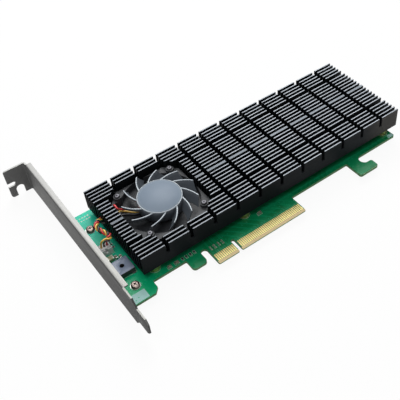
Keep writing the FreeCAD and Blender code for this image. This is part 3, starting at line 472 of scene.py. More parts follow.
def solids_of(node):
    """The boxes of a node's separate solids in millimetres, from left to right: (low corner, high corner)."""
    mesh = nodes[node].data
    parent = list(range(len(mesh.vertices)))

    def find(index):
        while parent[index] != index:
            parent[index] = parent[parent[index]]
            index = parent[index]
        return index

    seen = {}
    for vertex in mesh.vertices:
        key = tuple(round(value * 1e6) for value in vertex.co)
        parent[find(vertex.index)] = find(seen.setdefault(key, vertex.index))
    for edge in mesh.edges:
        parent[find(edge.vertices[0])] = find(edge.vertices[1])
    groups = {}
    for vertex in mesh.vertices:
        groups.setdefault(find(vertex.index), []).append(vertex.co)
    boxes = []
    for points in groups.values():
        low = Vector(min(point[axis] for point in points) for axis in range(3))
        high = Vector(max(point[axis] for point in points) for axis in range(3))
        boxes.append((low, high))
    boxes.sort(key=lambda box: (round(box[0].x, 5), round(box[0].y, 5)))
    return [(low / MM, high / MM) for low, high in boxes]


def lathe(profile, steps):
    """A turned form on an upright axis through the origin, from (radius, z) points."""
    bm = bmesh.new()
    rings = []
    for radius, z in profile:
        turns = [tau * i / steps for i in range(steps if radius else 1)]
        rings.append([bm.verts.new((radius * cos(turn) * MM, radius * sin(turn) * MM, z * MM)) for turn in turns])
    for low, high in zip(rings, rings[1:]):
        for i in range(steps):
            ring_corners = ((low, i), (low, i + 1), (high, i + 1), (high, i))
            corners = list(dict.fromkeys(ring[k % len(ring)] for ring, k in ring_corners))
            if len(corners) > 2:
                bm.faces.new(corners)
    return bm


def skinned(bm, loops):
    """Joins closed loops of vertices one after another and caps both ends."""
    count = len(loops[0])
    for near, far in zip(loops, loops[1:]):
        for k in range(count):
            bm.faces.new((near[k], near[(k + 1) % count], far[(k + 1) % count], far[k]))
    bm.faces.new(loops[0])
    bm.faces.new(reversed(loops[-1]))


def slab(bm, low, high, slot=0):
    """Adds a plain box to a bmesh."""
    made = bmesh.ops.create_cube(bm, size=1.0)
    middle = (Vector(low) + Vector(high)) / 2
    size = Vector(high) - Vector(low)
    for vertex in made["verts"]:
        vertex.co = Vector(a * b for a, b in zip(vertex.co, size)) + middle
    for face in {face for vertex in made["verts"] for face in vertex.link_faces}:
        face.material_index = slot
    return made["verts"]


# ---- Geometry Nodes: a piece repeated at chosen places ----
def scatter_tree():
    """Sets Piece on the geometry's points, turned and stretched by their attributes, in one or two finishes."""
    tree = bpy.data.node_groups.new("scatter", "GeometryNodeTree")
    for name, kind in (("Geometry", "Geometry"), ("Piece", "Object"), ("Finish", "Material"),
                       ("Second Finish", "Material")):
        tree.interface.new_socket(name, in_out="INPUT", socket_type="NodeSocket" + kind)
    tree.interface.new_socket("Geometry", in_out="OUTPUT", socket_type="NodeSocketGeometry")
    start, end, template, spread, realise, first, second = (tree.nodes.new(kind) for kind in (
        "NodeGroupInput", "NodeGroupOutput", "GeometryNodeObjectInfo", "GeometryNodeInstanceOnPoints",
        "GeometryNodeRealizeInstances", "GeometryNodeSetMaterial", "GeometryNodeSetMaterial"))
    marks = {}
    for name, kind in (("turn", "FLOAT_VECTOR"), ("stretch", "FLOAT_VECTOR"), ("second", "BOOLEAN")):
        marks[name] = given(tree.nodes.new("GeometryNodeInputNamedAttribute"), data_type=kind)
        marks[name].inputs["Name"].default_value = name
    for source, output, target, socket in (
            (start, "Piece", template, "Object"), (start, "Geometry", spread, "Points"),
            (template, "Geometry", spread, "Instance"), (marks["turn"], "Attribute", spread, "Rotation"),
            (marks["stretch"], "Attribute", spread, "Scale"), (spread, "Instances", realise, "Geometry"),
            (realise, "Geometry", first, "Geometry"), (start, "Finish", first, "Material"),
            (first, "Geometry", second, "Geometry"), (marks["second"], "Attribute", second, "Selection"),
            (start, "Second Finish", second, "Material"), (second, "Geometry", end, "Geometry")):
        tree.links.new(source.outputs[output], target.inputs[socket])
    return tree


SCATTER = scatter_tree()
ONE = (1.0, 1.0, 1.0)


def scattered(name, template, finish, places, stands_for=(), body="card", second=None):
    """Repeats a template mesh; each place is (point, turn, stretch); faces in slot 1 get the second finish."""
    marks = template.attributes.new("second", "BOOLEAN", "FACE")
    for mark, face in zip(marks.data, template.polygons):
        mark.value = face.material_index == 1
    pattern = held(template, "pattern")
    points = bpy.data.meshes.new(name)
    points.from_pydata([tuple(point) for point, _, _ in places], [], [])
    turn = points.attributes.new("turn", "FLOAT_VECTOR", "POINT")
    stretch = points.attributes.new("stretch", "FLOAT_VECTOR", "POINT")
    for index, (_, angle, factors) in enumerate(places):
        turn.data[index].vector = angle if isinstance(angle, tuple) else (0, 0, angle)
        stretch.data[index].vector = factors
    holder = held(points)
    repeat = given(holder.modifiers.new("repeat", "NODES"), node_group=SCATTER)
    wanted = {"Piece": pattern, "Finish": FINISHES[finish], "Second Finish": FINISHES[second or finish]}
    for item in SCATTER.interface.items_tree:
        if item.in_out == "INPUT" and item.name in wanted:
            repeat[item.identifier] = wanted[item.name]
    mesh = evaluated(holder)
    bpy.data.objects.remove(pattern)
    settled(held(mesh, name), body, stands_for)


# ---- screws ----
def pan_screw(head, height, shank, length):
    """A cross-recessed pan head that stands on z = 0, with its shank below."""
    arm, width, depth = 0.60 * head, 0.15 * head, 0.6 * height
    r = head / 2
    profile = [(0, -length), (shank / 2 - 0.2, -length), (shank / 2, -length + 0.2), (shank / 2, 0), (r - 0.05, 0),
               (r, 0.06), (r, 0.42 * height)]
    dome = [radians(15 * k) for k in range(1, 6)]
    profile += [(r * (0.66 + 0.34 * cos(a)), height * (0.42 + 0.56 * sin(a))) for a in dome]
    profile += [(0.45 * r, height), (0, height)]
    body = drawn(lathe(profile, 40), "screw", False)
    cutter = bmesh.new()
    for along, across in ((arm, width), (width, arm)):
        half = Vector((along / 2 * MM, across / 2 * MM, 0))
        verts = slab(cutter, Vector((0, 0, (height - depth) * MM)) - half, Vector((0, 0, (height + 1) * MM)) + half)
        for vertex in verts:
            if vertex.co.z < height * MM:
                vertex.co.x *= 0.45 if along > across else 0.8
                vertex.co.y *= 0.45 if across > along else 0.8
    mesh = carved(body, drawn(cutter, "cross", False))
    mesh.shade_smooth()
    mesh.set_sharp_from_angle(angle=radians(30))
    return mesh


def dress_screws(node, head, height, shank, from_below=False, finish="screw_nickel"):
    """Replaces a node of screws; each stands where its CAD solid does."""
    places = []
    for index, (low, high) in enumerate(solids_of(node)):
        point = (low + high) / 2
        point.z = low.z + height if from_below else high.z - height
        places.append((point * MM, (pi if from_below else 0, 0, 0.35 + 1.1 * index), ONE))
    template = pan_screw(head, height, shank, high.z - low.z - height)
    scattered(node + "_dressed", template, finish, places, (node,))


dress_screws("bracket_screws", 4.3, 1.3, 2.5)
dress_screws("heatsink_screws", 4.3, 1.3, 2.5, from_below=True)
dress_screws("fan_screws", 2.8, 0.8, 2.0, finish="screw_dark")
dress_screws("m2_screws", 3.6, 0.7, 2.0)

# ---- sheet metal, board and housings ----
TONGUE_TIP = box_of("slot_bracket")[0].y
TONGUE_LENGTH = 7.16
TONGUE_BEND = 1.3


def straighten_tongue(point):
    """Takes the sideways bend out of the bracket's lower tongue."""
    share = (point.y / MM - TONGUE_TIP) / TONGUE_LENGTH
    if share < 1:
        point.x -= TONGUE_BEND * (1 - share) * MM


softened("slot_bracket", "bracket_steel", 0.12, reshape=straighten_tongue)
softened("bracket_ears", "bracket_steel", 0.08)
softened("circuit_board", "solder_mask", 0.04, 1, smooth=False)
for node, finish, width_mm, segments in (
        ("fan_frame", "fan_grey", 0.12, 2), ("fan_header", "white_nylon", 0.06, 2),
        ("fan_plug", "white_nylon", 0.06, 2), ("m2_sockets", "black_moulding", 0.08, 2),
        ("power_inductors", "black_moulding", 0.25, 3), ("flash_chip", "black_moulding", 0.10, 2),
        ("regulator_chips", "black_moulding", 0.05, 2), ("switch_chip_lid", "chip_lid", 0.20, 3)):
    softened(node, finish, width_mm, segments)

CREST_INSET = 0.225
WIDE_FIN = 1.2
CREST_FALL = 0.14


def dress_heatsink():
    """The extrusion, with each fin's top broken to a narrow pale crest, partly bare metal and partly painted highlight;
    the crests of wide fins are duller.
    """
    bm = merged("heatsink")
    level = (SINK_HIGH.z - 0.05) * MM
    tops = [face for face in bm.faces if face.normal.z > 0.99 and face.calc_center_median().z > level]
    rims = {vertex for face in tops for vertex in face.verts}
    bmesh.ops.inset_individual(bm, faces=tops, thickness=CREST_INSET * MM)
    for face in tops:
        across = [vertex.co.y for vertex in face.verts]
        face.material_index = 2 if max(across) - min(across) > WIDE_FIN * MM else 1
    for vertex in rims:
        vertex.co.z -= CREST_FALL * MM
    piece("heatsink_dressed", drawn(bm, "heatsink_dressed", False), ("black_anodised", "fin_crest", "wide_crest"),
          ("heatsink",))


dress_heatsink()

for subpart in frame["record"]["subparts"]:
    own = nodes[subpart["node"]].data
    own.materials.clear()
    own.materials.append(FINISHES[subpart["material_slot"]])

# ---- fan rotor ----
label_low, label_high = box_of("hub_label")
LABEL_RADIUS = (label_high.x - label_low.x) / 2
AXIS = sum(box_of("rotor_shaft"), Vector()) / 2 * MM
AXIS.z = 0
BLADES = 11
HUB_RADIUS = 11.2
HUB_WALL = 1.0
HUB_ROUND = 0.4
TIP_RADIUS = 18.6
BLADE_TOP = HUB_TOP - 0.35
BLADE_BOTTOM = HUB_BOTTOM + 0.8
BLADE_TIP_DROP = 0.35
BLADE_SWEEP = 28.0
BLADE_SLANT = 3.6
BLADE_THICKNESS = 0.9
FIRST_BLADE = 156.0
# Share of the way down a blade, then half its thickness there as a share of the greatest.
BLADE_SKIN = ((0, 0.5), (0.006, 0.78), (0.018, 0.94), (0.04, 1.0), (0.2, 1.0), (0.45, 1.0), (0.6, 0.95), (0.75, 0.85),
              (0.88, 0.7), (0.97, 0.48), (1.0, 0.25))


def blade_mesh(spans=14):
    """One swept and twisted blade about the rotor's axis, with a rounded upper rim."""
    bm = bmesh.new()
    loops = []
    root = HUB_RADIUS - 0.5
    for step in range(spans + 1):
        span = step / spans
        radius = root + (TIP_RADIUS - root) * span
        top = BLADE_TOP - BLADE_TIP_DROP * span
        half = BLADE_THICKNESS / 2 * (1 - 0.2 * span)
        angle = radians(FIRST_BLADE - BLADE_SWEEP * span ** 0.85) - BLADE_SLANT / 2 / radius
        outwards, along = Vector((cos(angle), sin(angle), 0)), Vector((-sin(angle), cos(angle), 0))
        middle = outwards * radius + along * (BLADE_SLANT / 2) + Vector((0, 0, top))
        loop = []
        for side, walk in ((1, BLADE_SKIN), (-1, BLADE_SKIN[::-1])):
            for share, fullness in walk:
                shift = side * half * fullness - BLADE_SLANT * share ** 1.6
                loop.append(bm.verts.new((middle + along * shift - Vector((0, 0, (top - BLADE_BOTTOM) * share))) * MM))
        loops.append(loop)
    skinned(bm, loops)
    mesh = drawn(bm, "blade")
    mesh.set_sharp_from_angle(angle=radians(50))
    return mesh


def hub_mesh():
    """The hub: a cup with a rounded shoulder and a shallow seat for its label."""
    low, r, bore = HUB_BOTTOM, HUB_RADIUS, HUB_RADIUS - HUB_WALL
    rim = LABEL_RADIUS + 0.1
    seat = HUB_TOP - (label_high.z - label_low.z)
    profile = [(0, HUB_TOP - HUB_WALL), (bore, HUB_TOP - HUB_WALL), (bore, low), (r - 0.1, low), (r, low + 0.1)]
    shoulder = [radians(15 * k) for k in range(7)]
    profile += [(r - HUB_ROUND * (1 - cos(a)), HUB_TOP - HUB_ROUND * (1 - sin(a))) for a in shoulder]
    profile += [(rim + 0.06, HUB_TOP), (rim, HUB_TOP - 0.04), (rim, seat), (0, seat)]
    return drawn(lathe(profile, 96), "hub")


def dress_rotor():
    """Blades, hub and label film on the fan's axis."""
    places = [(AXIS, tau * k / BLADES, ONE) for k in range(BLADES)]
    scattered("rotor_blades", blade_mesh(), "rotor_grey", places, ("fan_rotor",), "fan_wheel")
    r, z, seat = LABEL_RADIUS, label_high.z, label_low.z
    film = drawn(lathe([(0, seat), (r, seat), (r, z - 0.04), (r - 0.04, z), (0, z)], 96), "label")
    for name, mesh, finish, node in (("rotor_hub", hub_mesh(), "rotor_grey", "fan_rotor"),
                                     ("hub_label_film", film, "label_grey", "hub_label")):
        mesh.transform(Matrix.Translation(AXIS))
        piece(name, mesh, finish, (node,), "fan_wheel")


dress_rotor()


# ---- chips with tinned ends ----
def chip_template(end_share=0.24, inset=0.06):
    """A unit chip along X, standing on z = 0: body in slot 0, tinned ends in slot 1."""
    bm = bmesh.new()
    slab(bm, (-0.5 + end_share * 0.6, -0.5 + inset, 0), (0.5 - end_share * 0.6, 0.5 - inset, 1 - inset), 0)
    for side in (-1, 1):
        a, b = sorted((side * 0.5, side * (0.5 - end_share)))
        slab(bm, (a, -0.5, 0), (b, 0.5, 1), 1)
    edges = [edge for edge in bm.edges if edge.calc_face_angle(0) > 1]
    bmesh.ops.bevel(bm, geom=edges, offset=0.035, segments=2, profile=0.5, affect="EDGES")
    return drawn(bm, "chip", False)


def dress_chips(node, finish):
    """Replaces a node of plain chips by chips with tinned ends."""
    places = []
    for low, high in solids_of(node):
        point, size = (low + high) / 2 * MM, (high - low) * MM
        point.z = low.z * MM
        turn = pi / 2 if size.y > size.x else 0
        places.append((point, turn, (max(size.x, size.y), min(size.x, size.y), size.z)))
    scattered(node + "_dressed", chip_template(), finish, places, (node,), second="tinned_leads")


for node, finish in (("coupling_capacitors", "ceramic_tan"), ("front_capacitors", "ceramic_tan"),
                     ("front_resistors", "resistor_black"), ("back_capacitors", "ceramic_tan"),
                     ("tantalum_capacitor", "tantalum_tan")):
    dress_chips(node, finish)

# ---- buzzer ----
BUZZER_HOLE = 2.0
BUZZER_HOLE_DEPTH = 2.0


def dress_buzzer():
    """The buzzer's case with rounded corners, a paler top and a sound hole painted darker than the case as painted
    shade.
    """
    low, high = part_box("buzzer_case")
    bm = bmesh.new()
    slab(bm, low, high)
    uprights = [edge for edge in bm.edges if abs(edge.verts[0].co.z - edge.verts[1].co.z) > 1e-6]
    bmesh.ops.bevel(bm, geom=uprights, offset=0.5 * MM, segments=5, profile=0.5, affect="EDGES")
    sharp = [edge for edge in bm.edges if edge.is_manifold and edge.calc_face_angle(0) > SHARP]
    bmesh.ops.bevel(bm, geom=sharp, offset=0.2 * MM, segments=3, profile=0.5, affect="EDGES", clamp_overlap=True)
    middle, top, r = (low + high) / 2, high.z / MM, BUZZER_HOLE / 2
    floor = top - BUZZER_HOLE_DEPTH
    profile = [(0, floor), (r, floor), (r, top - 0.15), (r + 0.3, top + 0.15), (0, top + 0.15)]
    bore = drawn(lathe(profile, 40), "bore", False)
    bore.transform(Matrix.Translation((middle.x, middle.y, 0)))
    mesh = carved(drawn(bm, "buzzer"), bore)
    for face in mesh.polygons:
        height = face.center.z / MM
        in_hole = (face.center.xy - middle.xy).length < (r + 0.4) * MM and height < top - 0.01
        # faces inside the sound hole take the painted shade
        face.material_index = 2 if in_hole else int(face.normal.z > 0.9 and height > top - 0.3)
    piece("buzzer_shell", mesh, ("black_moulding", "buzzer_top", "hole_painted_shade"), ("buzzer_case",))


dress_buzzer()

# ---- fan leads ----
# Points are (from the bracket's outer face, from the contact edge, above the component face). Each lead runs from
# the driver board along a channel of the heatsink; then the three are wound about one middle line down to the plug.
LEAD_DIAMETER = 0.9
BRACKET_FACE = -58.7
LEAD_ROUTES = {
    "red": [(32.2, 46.5, 7.12), (30.2, 47.1, 7.2), (27.4, 50.0, 7.5), (24.9, 51.0, 8.4), (23.0, 50.0, 10.6),
            (22.2, 48.8, 12.4), (22.0, 51.0, 13.2), (22.4, 53.2, 11.4), (20.9, 53.78, 8.8), (17.6, 53.78, 7.3),
            (14.6, 53.6, 7.7)],
    "yellow": [(32.22, 45.35, 7.12), (29.6, 45.8, 7.14), (26.8, 49.3, 7.2), (23.6, 51.48, 7.6), (20.0, 51.48, 7.2),
               (16.6, 51.48, 7.6), (14.4, 51.5, 8.2)],
    "black": [(32.24, 44.2, 7.12), (29.0, 44.5, 7.14), (26.0, 47.6, 7.14), (23.0, 49.18, 7.3), (19.6, 49.18, 7.14),
              (16.4, 49.18, 7.3), (14.2, 49.4, 7.2)],
}
LEAD_PINS = {"red": 9.3, "yellow": 6.3, "black": 7.8}
PIN_ROW = 39.25
PIN_TOP = 4.1
BUNDLE = [(12.8, 51.2, 8.5), (10.8, 49.9, 10.0), (9.4, 47.6, 10.6), (9.2, 45.0, 10.4), (10.2, 43.0, 9.8),
          (11.6, 41.4, 9.4), (12.0, 39.4, 9.2), (10.8, 38.4, 9.0), (9.8, 38.9, 8.6)]
WOUND_RADIUS = 0.9
WOUND_STEP = 0.7
WOUND_TURNS = 3.083
WOUND_FROM = {"red": 180, "yellow": 60, "black": 300}


def middle_line():
    """The bundle's middle line, with its corners cut three times."""
    line = [Vector(point) for point in BUNDLE]
    for _ in range(3):
        cut = [near.lerp(far, share) for near, far in zip(line, line[1:]) for share in (0.25, 0.75)]
        line = [line[0]] + cut + [line[-1]]
    return line


def wound(colour):
    """Points of one wire on its way round the bundle's middle line."""
    line, points, walked, due = middle_line(), [], 0.0, 0.0
    length = length_of(line)
    for near, far in zip(line, line[1:]):
        along = (far - near).normalized()
        across = Vector((-along.y, along.x, 0)).normalized()
        while due <= walked + (far - near).length:
            turn = radians(WOUND_FROM[colour]) + tau * WOUND_TURNS * due / length
            aside = across * cos(turn) + along.cross(across) * sin(turn)
            points.append(near + along * (due - walked) + aside * WOUND_RADIUS)
            due += WOUND_STEP
        walked += (far - near).length
    return points


def on_card(x, y, z):
    """A route's point in the card's own frame, in metres."""
    return Vector(((BRACKET_FACE + x) * MM, y * MM, (BOARD_FRONT + z) * MM))


def dress_lead(colour):
    """A smooth wire along its route."""
    name = f"insulation_{colour}"
    curve = given(bpy.data.curves.new("lead", "CURVE"), dimensions="3D", bevel_depth=LEAD_DIAMETER / 2 * MM,
                  bevel_resolution=5, use_fill_caps=True, resolution_u=10)
    spline = curve.splines.new("NURBS")
    pin = LEAD_PINS[colour]
    above_plug = 10.8 - 0.4 * pin
    route = LEAD_ROUTES[colour] + wound(colour) + [(pin, PIN_ROW, above_plug), (pin, PIN_ROW, PIN_TOP)]
    spline.points.add(len(route) - 1)
    for point, place in zip(spline.points, route):
        point.co = (*on_card(*place), 1.0)
    spline.order_u = 3
    spline.use_endpoint_u = True
    mesh = evaluated(held(curve))
    mesh.shade_smooth()
    piece(f"{colour}_wire", mesh, name, (f"lead_{colour}",))


for colour in LEAD_ROUTES:
    dress_lead(colour)

# ---- board layers: raised tracks, plated holes and printed outlines ----
TRACK_RISE = 0.03
INK_RISE = 0.02
LAYER_SINK = 0.01
SIGNAL_WIDTH = 0.2
POWER_WIDTH = 0.3
LINE_WIDTH = 0.14
FINE_LINE = 0.12
RING_WIDTH = 0.16
EDGE_MARGIN = 0.45
TRACK_MARGIN = 0.05
SHORTEST_TRACK = 0.6
CHECK_STEP = 0.25
RAY_START = 20.0
PAIR_GAP = 0.22
LONG_TONGUE_START = 0.5
CORNER_EDGE = 11.0
VIA_RADIUS = 0.34
VIA_HOLE = 0.15
VIA_STEP = 2.9
VIA_ROW = 0.95
VIA_GAP = 0.5
VIA_TO_TRACK = 0.2
CHIP_ROWS = 24
CHIP_SHARE = 0.84
FACES = {1: BOARD_FRONT, -1: BOARD_BACK}
SIDE_NAMES = {1: "front", -1: "back"}
PARTS = {side: [box for node in names for box in solids_of(node)] for side, names in (
    (1, ("switch_chip_substrate", "m2_sockets", "m2_socket_contacts", "m2_spacers", "power_inductors",
         "regulator_chips", "flash_chip", "flash_chip_leads", "clock_crystal", "front_capacitors", "front_resistors",
         "coupling_capacitors", "tantalum_capacitor", "buzzer_case", "buzzer_terminals", "fan_header",
         "heatsink_spacers", "screw_lands", "edge_contacts_front")),
    (-1, ("back_capacitors", "heatsink_screws", "bracket_ears", "fan_header_pins", "m2_spacers",
          "edge_contacts_back")))}
used_spots = {1: [], -1: []}


def surface_of(mesh):
    """A mesh's faces, to cast rays at and to find the nearest of."""
    return BVHTree.FromPolygons([vertex.co.copy() for vertex in mesh.vertices],
                                [tuple(face.vertices) for face in mesh.polygons])


BOARD_SURFACE = surface_of(nodes["circuit_board"].data)


def circle(x, y, radius, steps):
    """Points round a centre; the last one meets the first."""
    return [(x + radius * cos(tau * k / steps), y + radius * sin(tau * k / steps)) for k in range(steps + 1)]


def on_board(x, y, margin):
    """Whether the board's flat face reaches margin round a point."""
    for across, up in [(x, y)] + circle(x, y, margin, 8)[:-1]:
        hit = BOARD_SURFACE.ray_cast(Vector((across * MM, up * MM, RAY_START * MM)), Vector((0, 0, -1)))[0]
        if hit is None or abs(hit.z / MM - BOARD_FRONT) > 0.01:
            return False
    return True


def is_free(x, y, margin, side):
    """Whether a point on one side of the board is clear of its edges, holes and parts."""
    for low, high in PARTS[side]:
        if low.x - margin < x < high.x + margin and low.y - margin < y < high.y + margin:
            return False
    return on_board(x, y, margin)


def clear_part(route, margin, side):
    """The first part of a route that stays clear, and whether all of it does."""
    kept = [Vector(route[0])]
    for near, far in zip(route, route[1:]):
        near, far = Vector(near), Vector(far)
        steps = max(2, ceil((far - near).length / CHECK_STEP))
        for step in range(1, steps + 1):
            point = near.lerp(far, step / steps)
            if not is_free(point.x, point.y, margin, side):
                if step > 2:
                    kept.append(near.lerp(far, (step - 1) / steps))
                return kept, False
        kept.append(far)
    return kept, True


class Layer:
    """Flat strips on one side of the board, slightly sunk into it."""

    def __init__(self, side, rise=INK_RISE):
        self.side = side
        self.bm = bmesh.new()
        self.heights = sorted((FACES[side] - side * LAYER_SINK, FACES[side] + side * rise))

    def strip(self, route, width):
        """A strip along a route of (x, y) points, with mitred corners."""
        points = [Vector(point) for point in route]
        low, high = self.heights
        rings = []
        for index, point in enumerate(points):
            before = (point - points[index - 1]).normalized() if index else None
            after = (points[index + 1] - point).normalized() if index + 1 < len(points) else None
            along = ((before or after) + (after or before)).normalized()
            across = Vector((-along.y, along.x)) * (width / 2 / along.dot(before or after))
            a, b = point + across, point - across
            corners = ((a, low), (a, high), (b, high), (b, low))
            rings.append([self.bm.verts.new((c.x * MM, c.y * MM, z * MM)) for c, z in corners])
        skinned(self.bm, rings)

    def track(self, route, width=SIGNAL_WIDTH):
        """A strip as far as its route is clear, with a plated hole at the end of a whole route."""
        kept, whole = clear_part(route, width / 2 + TRACK_MARGIN, self.side)
        if len(kept) > 1 and length_of(kept) > SHORTEST_TRACK:
            self.strip(kept, width)
            if whole:
                used_spots[self.side].append(tuple(kept[-1]))

    def outline(self, low, high, width=LINE_WIDTH, gap=0.3):
        """A frame round a box."""
        left, right, front, back = low.x - gap, high.x + gap, low.y - gap, high.y + gap
        w = width / 2
        for route in ([(left - w, front), (right + w, front)], [(left - w, back), (right + w, back)],
                      [(left, front + w), (left, back - w)], [(right, front + w), (right, back - w)]):
            self.strip(route, width)

    def ring(self, low, high, gap):
        """A circle round a box."""
        self.strip(circle(*middle_of(low, high), (high.x - low.x) / 2 + gap, 40), RING_WIDTH)

    def done(self, name, finish):
        """Makes the strips a piece."""
        piece(name, drawn(self.bm, name, False), finish)


def far_sides(node):
    """The middle of the +Y side of each solid of a node, as (x, y)."""
    return [(middle_of(low, high)[0], high.y) for low, high in solids_of(node)]


def contact_tracks(layer):
    """Pairs of tracks from the contacts, drawn together and then slanted towards the switch chip; the ground
    contacts between the pairs get a hole each."""
    for index, (x, y) in enumerate(far_sides("edge_contacts_" + SIDE_NAMES[layer.side])):
        kind = (index + (0 if layer.side > 0 else 2)) % 4
        start = (x, y + 0.12)
        if kind > 1:
            layer.track([start, (x, y + 1.0 + 0.45 * (kind - 2))], POWER_WIDTH)
            continue
        inner = x + (0.5 - PAIR_GAP) * (1 - 2 * kind)
        bend = y + 2.0 + PAIR_GAP * 0.8 * kind
        reach = 9.5 + 2.6 * (index // 4 % 4)
        end = (inner - reach, bend + reach) if x > LONG_TONGUE_START else (inner, y + 18.0)
        layer.track([start, (x, y + 0.8), (inner, y + 1.1), (inner, bend), end])


def front_tracks():
    """Tracks on the component side."""
    layer = Layer(1, TRACK_RISE)
    contact_tracks(layer)
    for x, y in far_sides("coupling_capacitors"):
        layer.track([(x, y + 0.12), (x, y + 14.5)])
    for k, y in enumerate((13.35, 12.85)):
        layer.track([(21.5 + 3.0 * k, y), (110.0 - 2.0 * k, y)], 0.22)
    low, high = box_of("fan_header")
    for k in range(3):
        x, y = low.x + 1.25 + 1.5 * k, high.y + 0.3
        layer.track([(x, y), (x, y + 0.9 + 0.5 * k), (x + 7.0, y + 7.9 + 0.5 * k)], POWER_WIDTH)
    low = box_of("buzzer_terminals")[0]
    for k in range(2):
        x, y = low.x + 1.2 + 5.6 * k, low.y
        layer.track([(x, y - 0.15), (x, y - 1.6), (x + 3.0 - 3.4 * k, y - 4.6)], POWER_WIDTH)
    for x, y in far_sides("front_resistors"):
        layer.track([(x, y + 0.1), (x, y + 1.2), (x + 2.2, y + 3.4)])
    for k in range(5):
        x = -54.6 + 1.1 * k
        layer.track([(x, 66.9), (x, 63.0 - 0.7 * k), (x + 6.0, 57.0 - 0.7 * k)])
    layer.done("tracks_front", "track_mask")


def back_tracks():
    """Tracks on the solder side: from the contacts, from the switch chip to both sockets, and along the top edge."""
    layer = Layer(-1, TRACK_RISE)
    contact_tracks(layer)
    low, high = box_of("switch_chip_substrate")
    right, middle = high.x - 0.5, middle_of(low, high)[1]
    sockets = sorted(middle_of(*box)[1] for box in solids_of("m2_sockets"))
    end = box_of("m2_socket_contacts")[0].x - 1.6
    for socket, way in zip(sockets, (-1, 1)):
        for k in range(5):
            start, goal = middle + way * (8.5 - 1.5 * k), socket + way * (7.5 - 2.8 * k)
            for half in (-PAIR_GAP, PAIR_GAP):
                bend = 1.0 - way * half * 0.4
                layer.track([(right, start + half), (bend, start + half),
                             (bend + abs(goal - start), goal + half), (end - 0.6 * k, goal + half)])
    for k in range(4):
        y = 64.6 - 0.9 * k
        layer.track([(-40.0 + 4.0 * k, y), (60.0 - 9.0 * k, y), (64.0 - 9.0 * k, y - 4.0)])
    layer.done("tracks_back", "track_mask")


def via_template():
    """A masked ring round a small pit, standing on z = 0; the pit is in slot 1."""
    bm = lathe([(VIA_RADIUS + 0.03, -LAYER_SINK), (VIA_RADIUS, TRACK_RISE), (VIA_HOLE, TRACK_RISE),
                (VIA_HOLE - 0.03, 0.008), (0, 0.008)], 10)
    for face in bm.faces:
        face.material_index = int(face.calc_center_median().xy.length < VIA_HOLE * MM)
    return drawn(bm, "via", False)


def via_spots():
    """Places of the plated holes: along the board's edges, under the switch chip and strewn between the parts."""
    low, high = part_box("circuit_board")
    left, right, top = low.x / MM, high.x / MM, high.y / MM
    spots = []
    for k in range(int((right - left) / VIA_STEP)):
        x = left + 1.6 + VIA_STEP * k
        spots += [(x, top - VIA_ROW), (x, CORNER_EDGE + 1.05), (x, CORNER_EDGE + VIA_ROW if k % 2 else 17.0)]
    for k in range(int(top / VIA_STEP)):
        spots += [(x, 1.6 + VIA_STEP * k) for x in (left + VIA_ROW, right - VIA_ROW)]
    low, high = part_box("switch_chip_substrate")
    middle = (low + high) / 2 / MM
    half = (CHIP_ROWS - 1) / 2
    strew = Random(11)
    for i in range(CHIP_ROWS):
        for j in range(CHIP_ROWS):
            if strew.random() < CHIP_SHARE and max(abs(i - half), abs(j - half)) > 3:
                spots.append((middle.x + i - half, middle.y + j - half))
    for count, across, up in ((420, (left + 1, right - 1), (6.5, top - 1)), (60, (-56, -44.5), (5.5, 67.5))):
        spots += [(strew.uniform(*across), strew.uniform(*up)) for _ in range(count)]
    return spots


def apart(spots, gap):
    """Drops each spot that lies within gap of an earlier one."""
    kept, cells = [], set()
    for x, y in spots:
        cell = (round(x / gap), round(y / gap))
        if not any((cell[0] + i, cell[1] + j) in cells for i in (-1, 0, 1) for j in (-1, 0, 1)):
            kept.append((x, y))
            cells.add(cell)
    return kept


def dress_vias():
    """Rings at the tracks' ends and at every other plated hole, on each side where the board is bare."""
    others = via_spots()
    for side, name in SIDE_NAMES.items():
        ends = [spot for spot in used_spots[side] if is_free(*spot, VIA_RADIUS, side)]
        tracks = surface_of(bpy.data.objects[f"tracks_{name}"].data)
        face = FACES[side] * MM
        loose = [(x, y) for x, y in others if is_free(x, y, EDGE_MARGIN, side)
                 and tracks.find_nearest(Vector((x * MM, y * MM, face)), (VIA_RADIUS + VIA_TO_TRACK) * MM)[0] is None]
        turn = 0 if side > 0 else (pi, 0, 0)
        places = [(Vector((x * MM, y * MM, face)), turn, ONE) for x, y in ends + apart(loose, VIA_GAP)]
        scattered(f"vias_{name}", via_template(), "track_mask", places, second="via_pit")


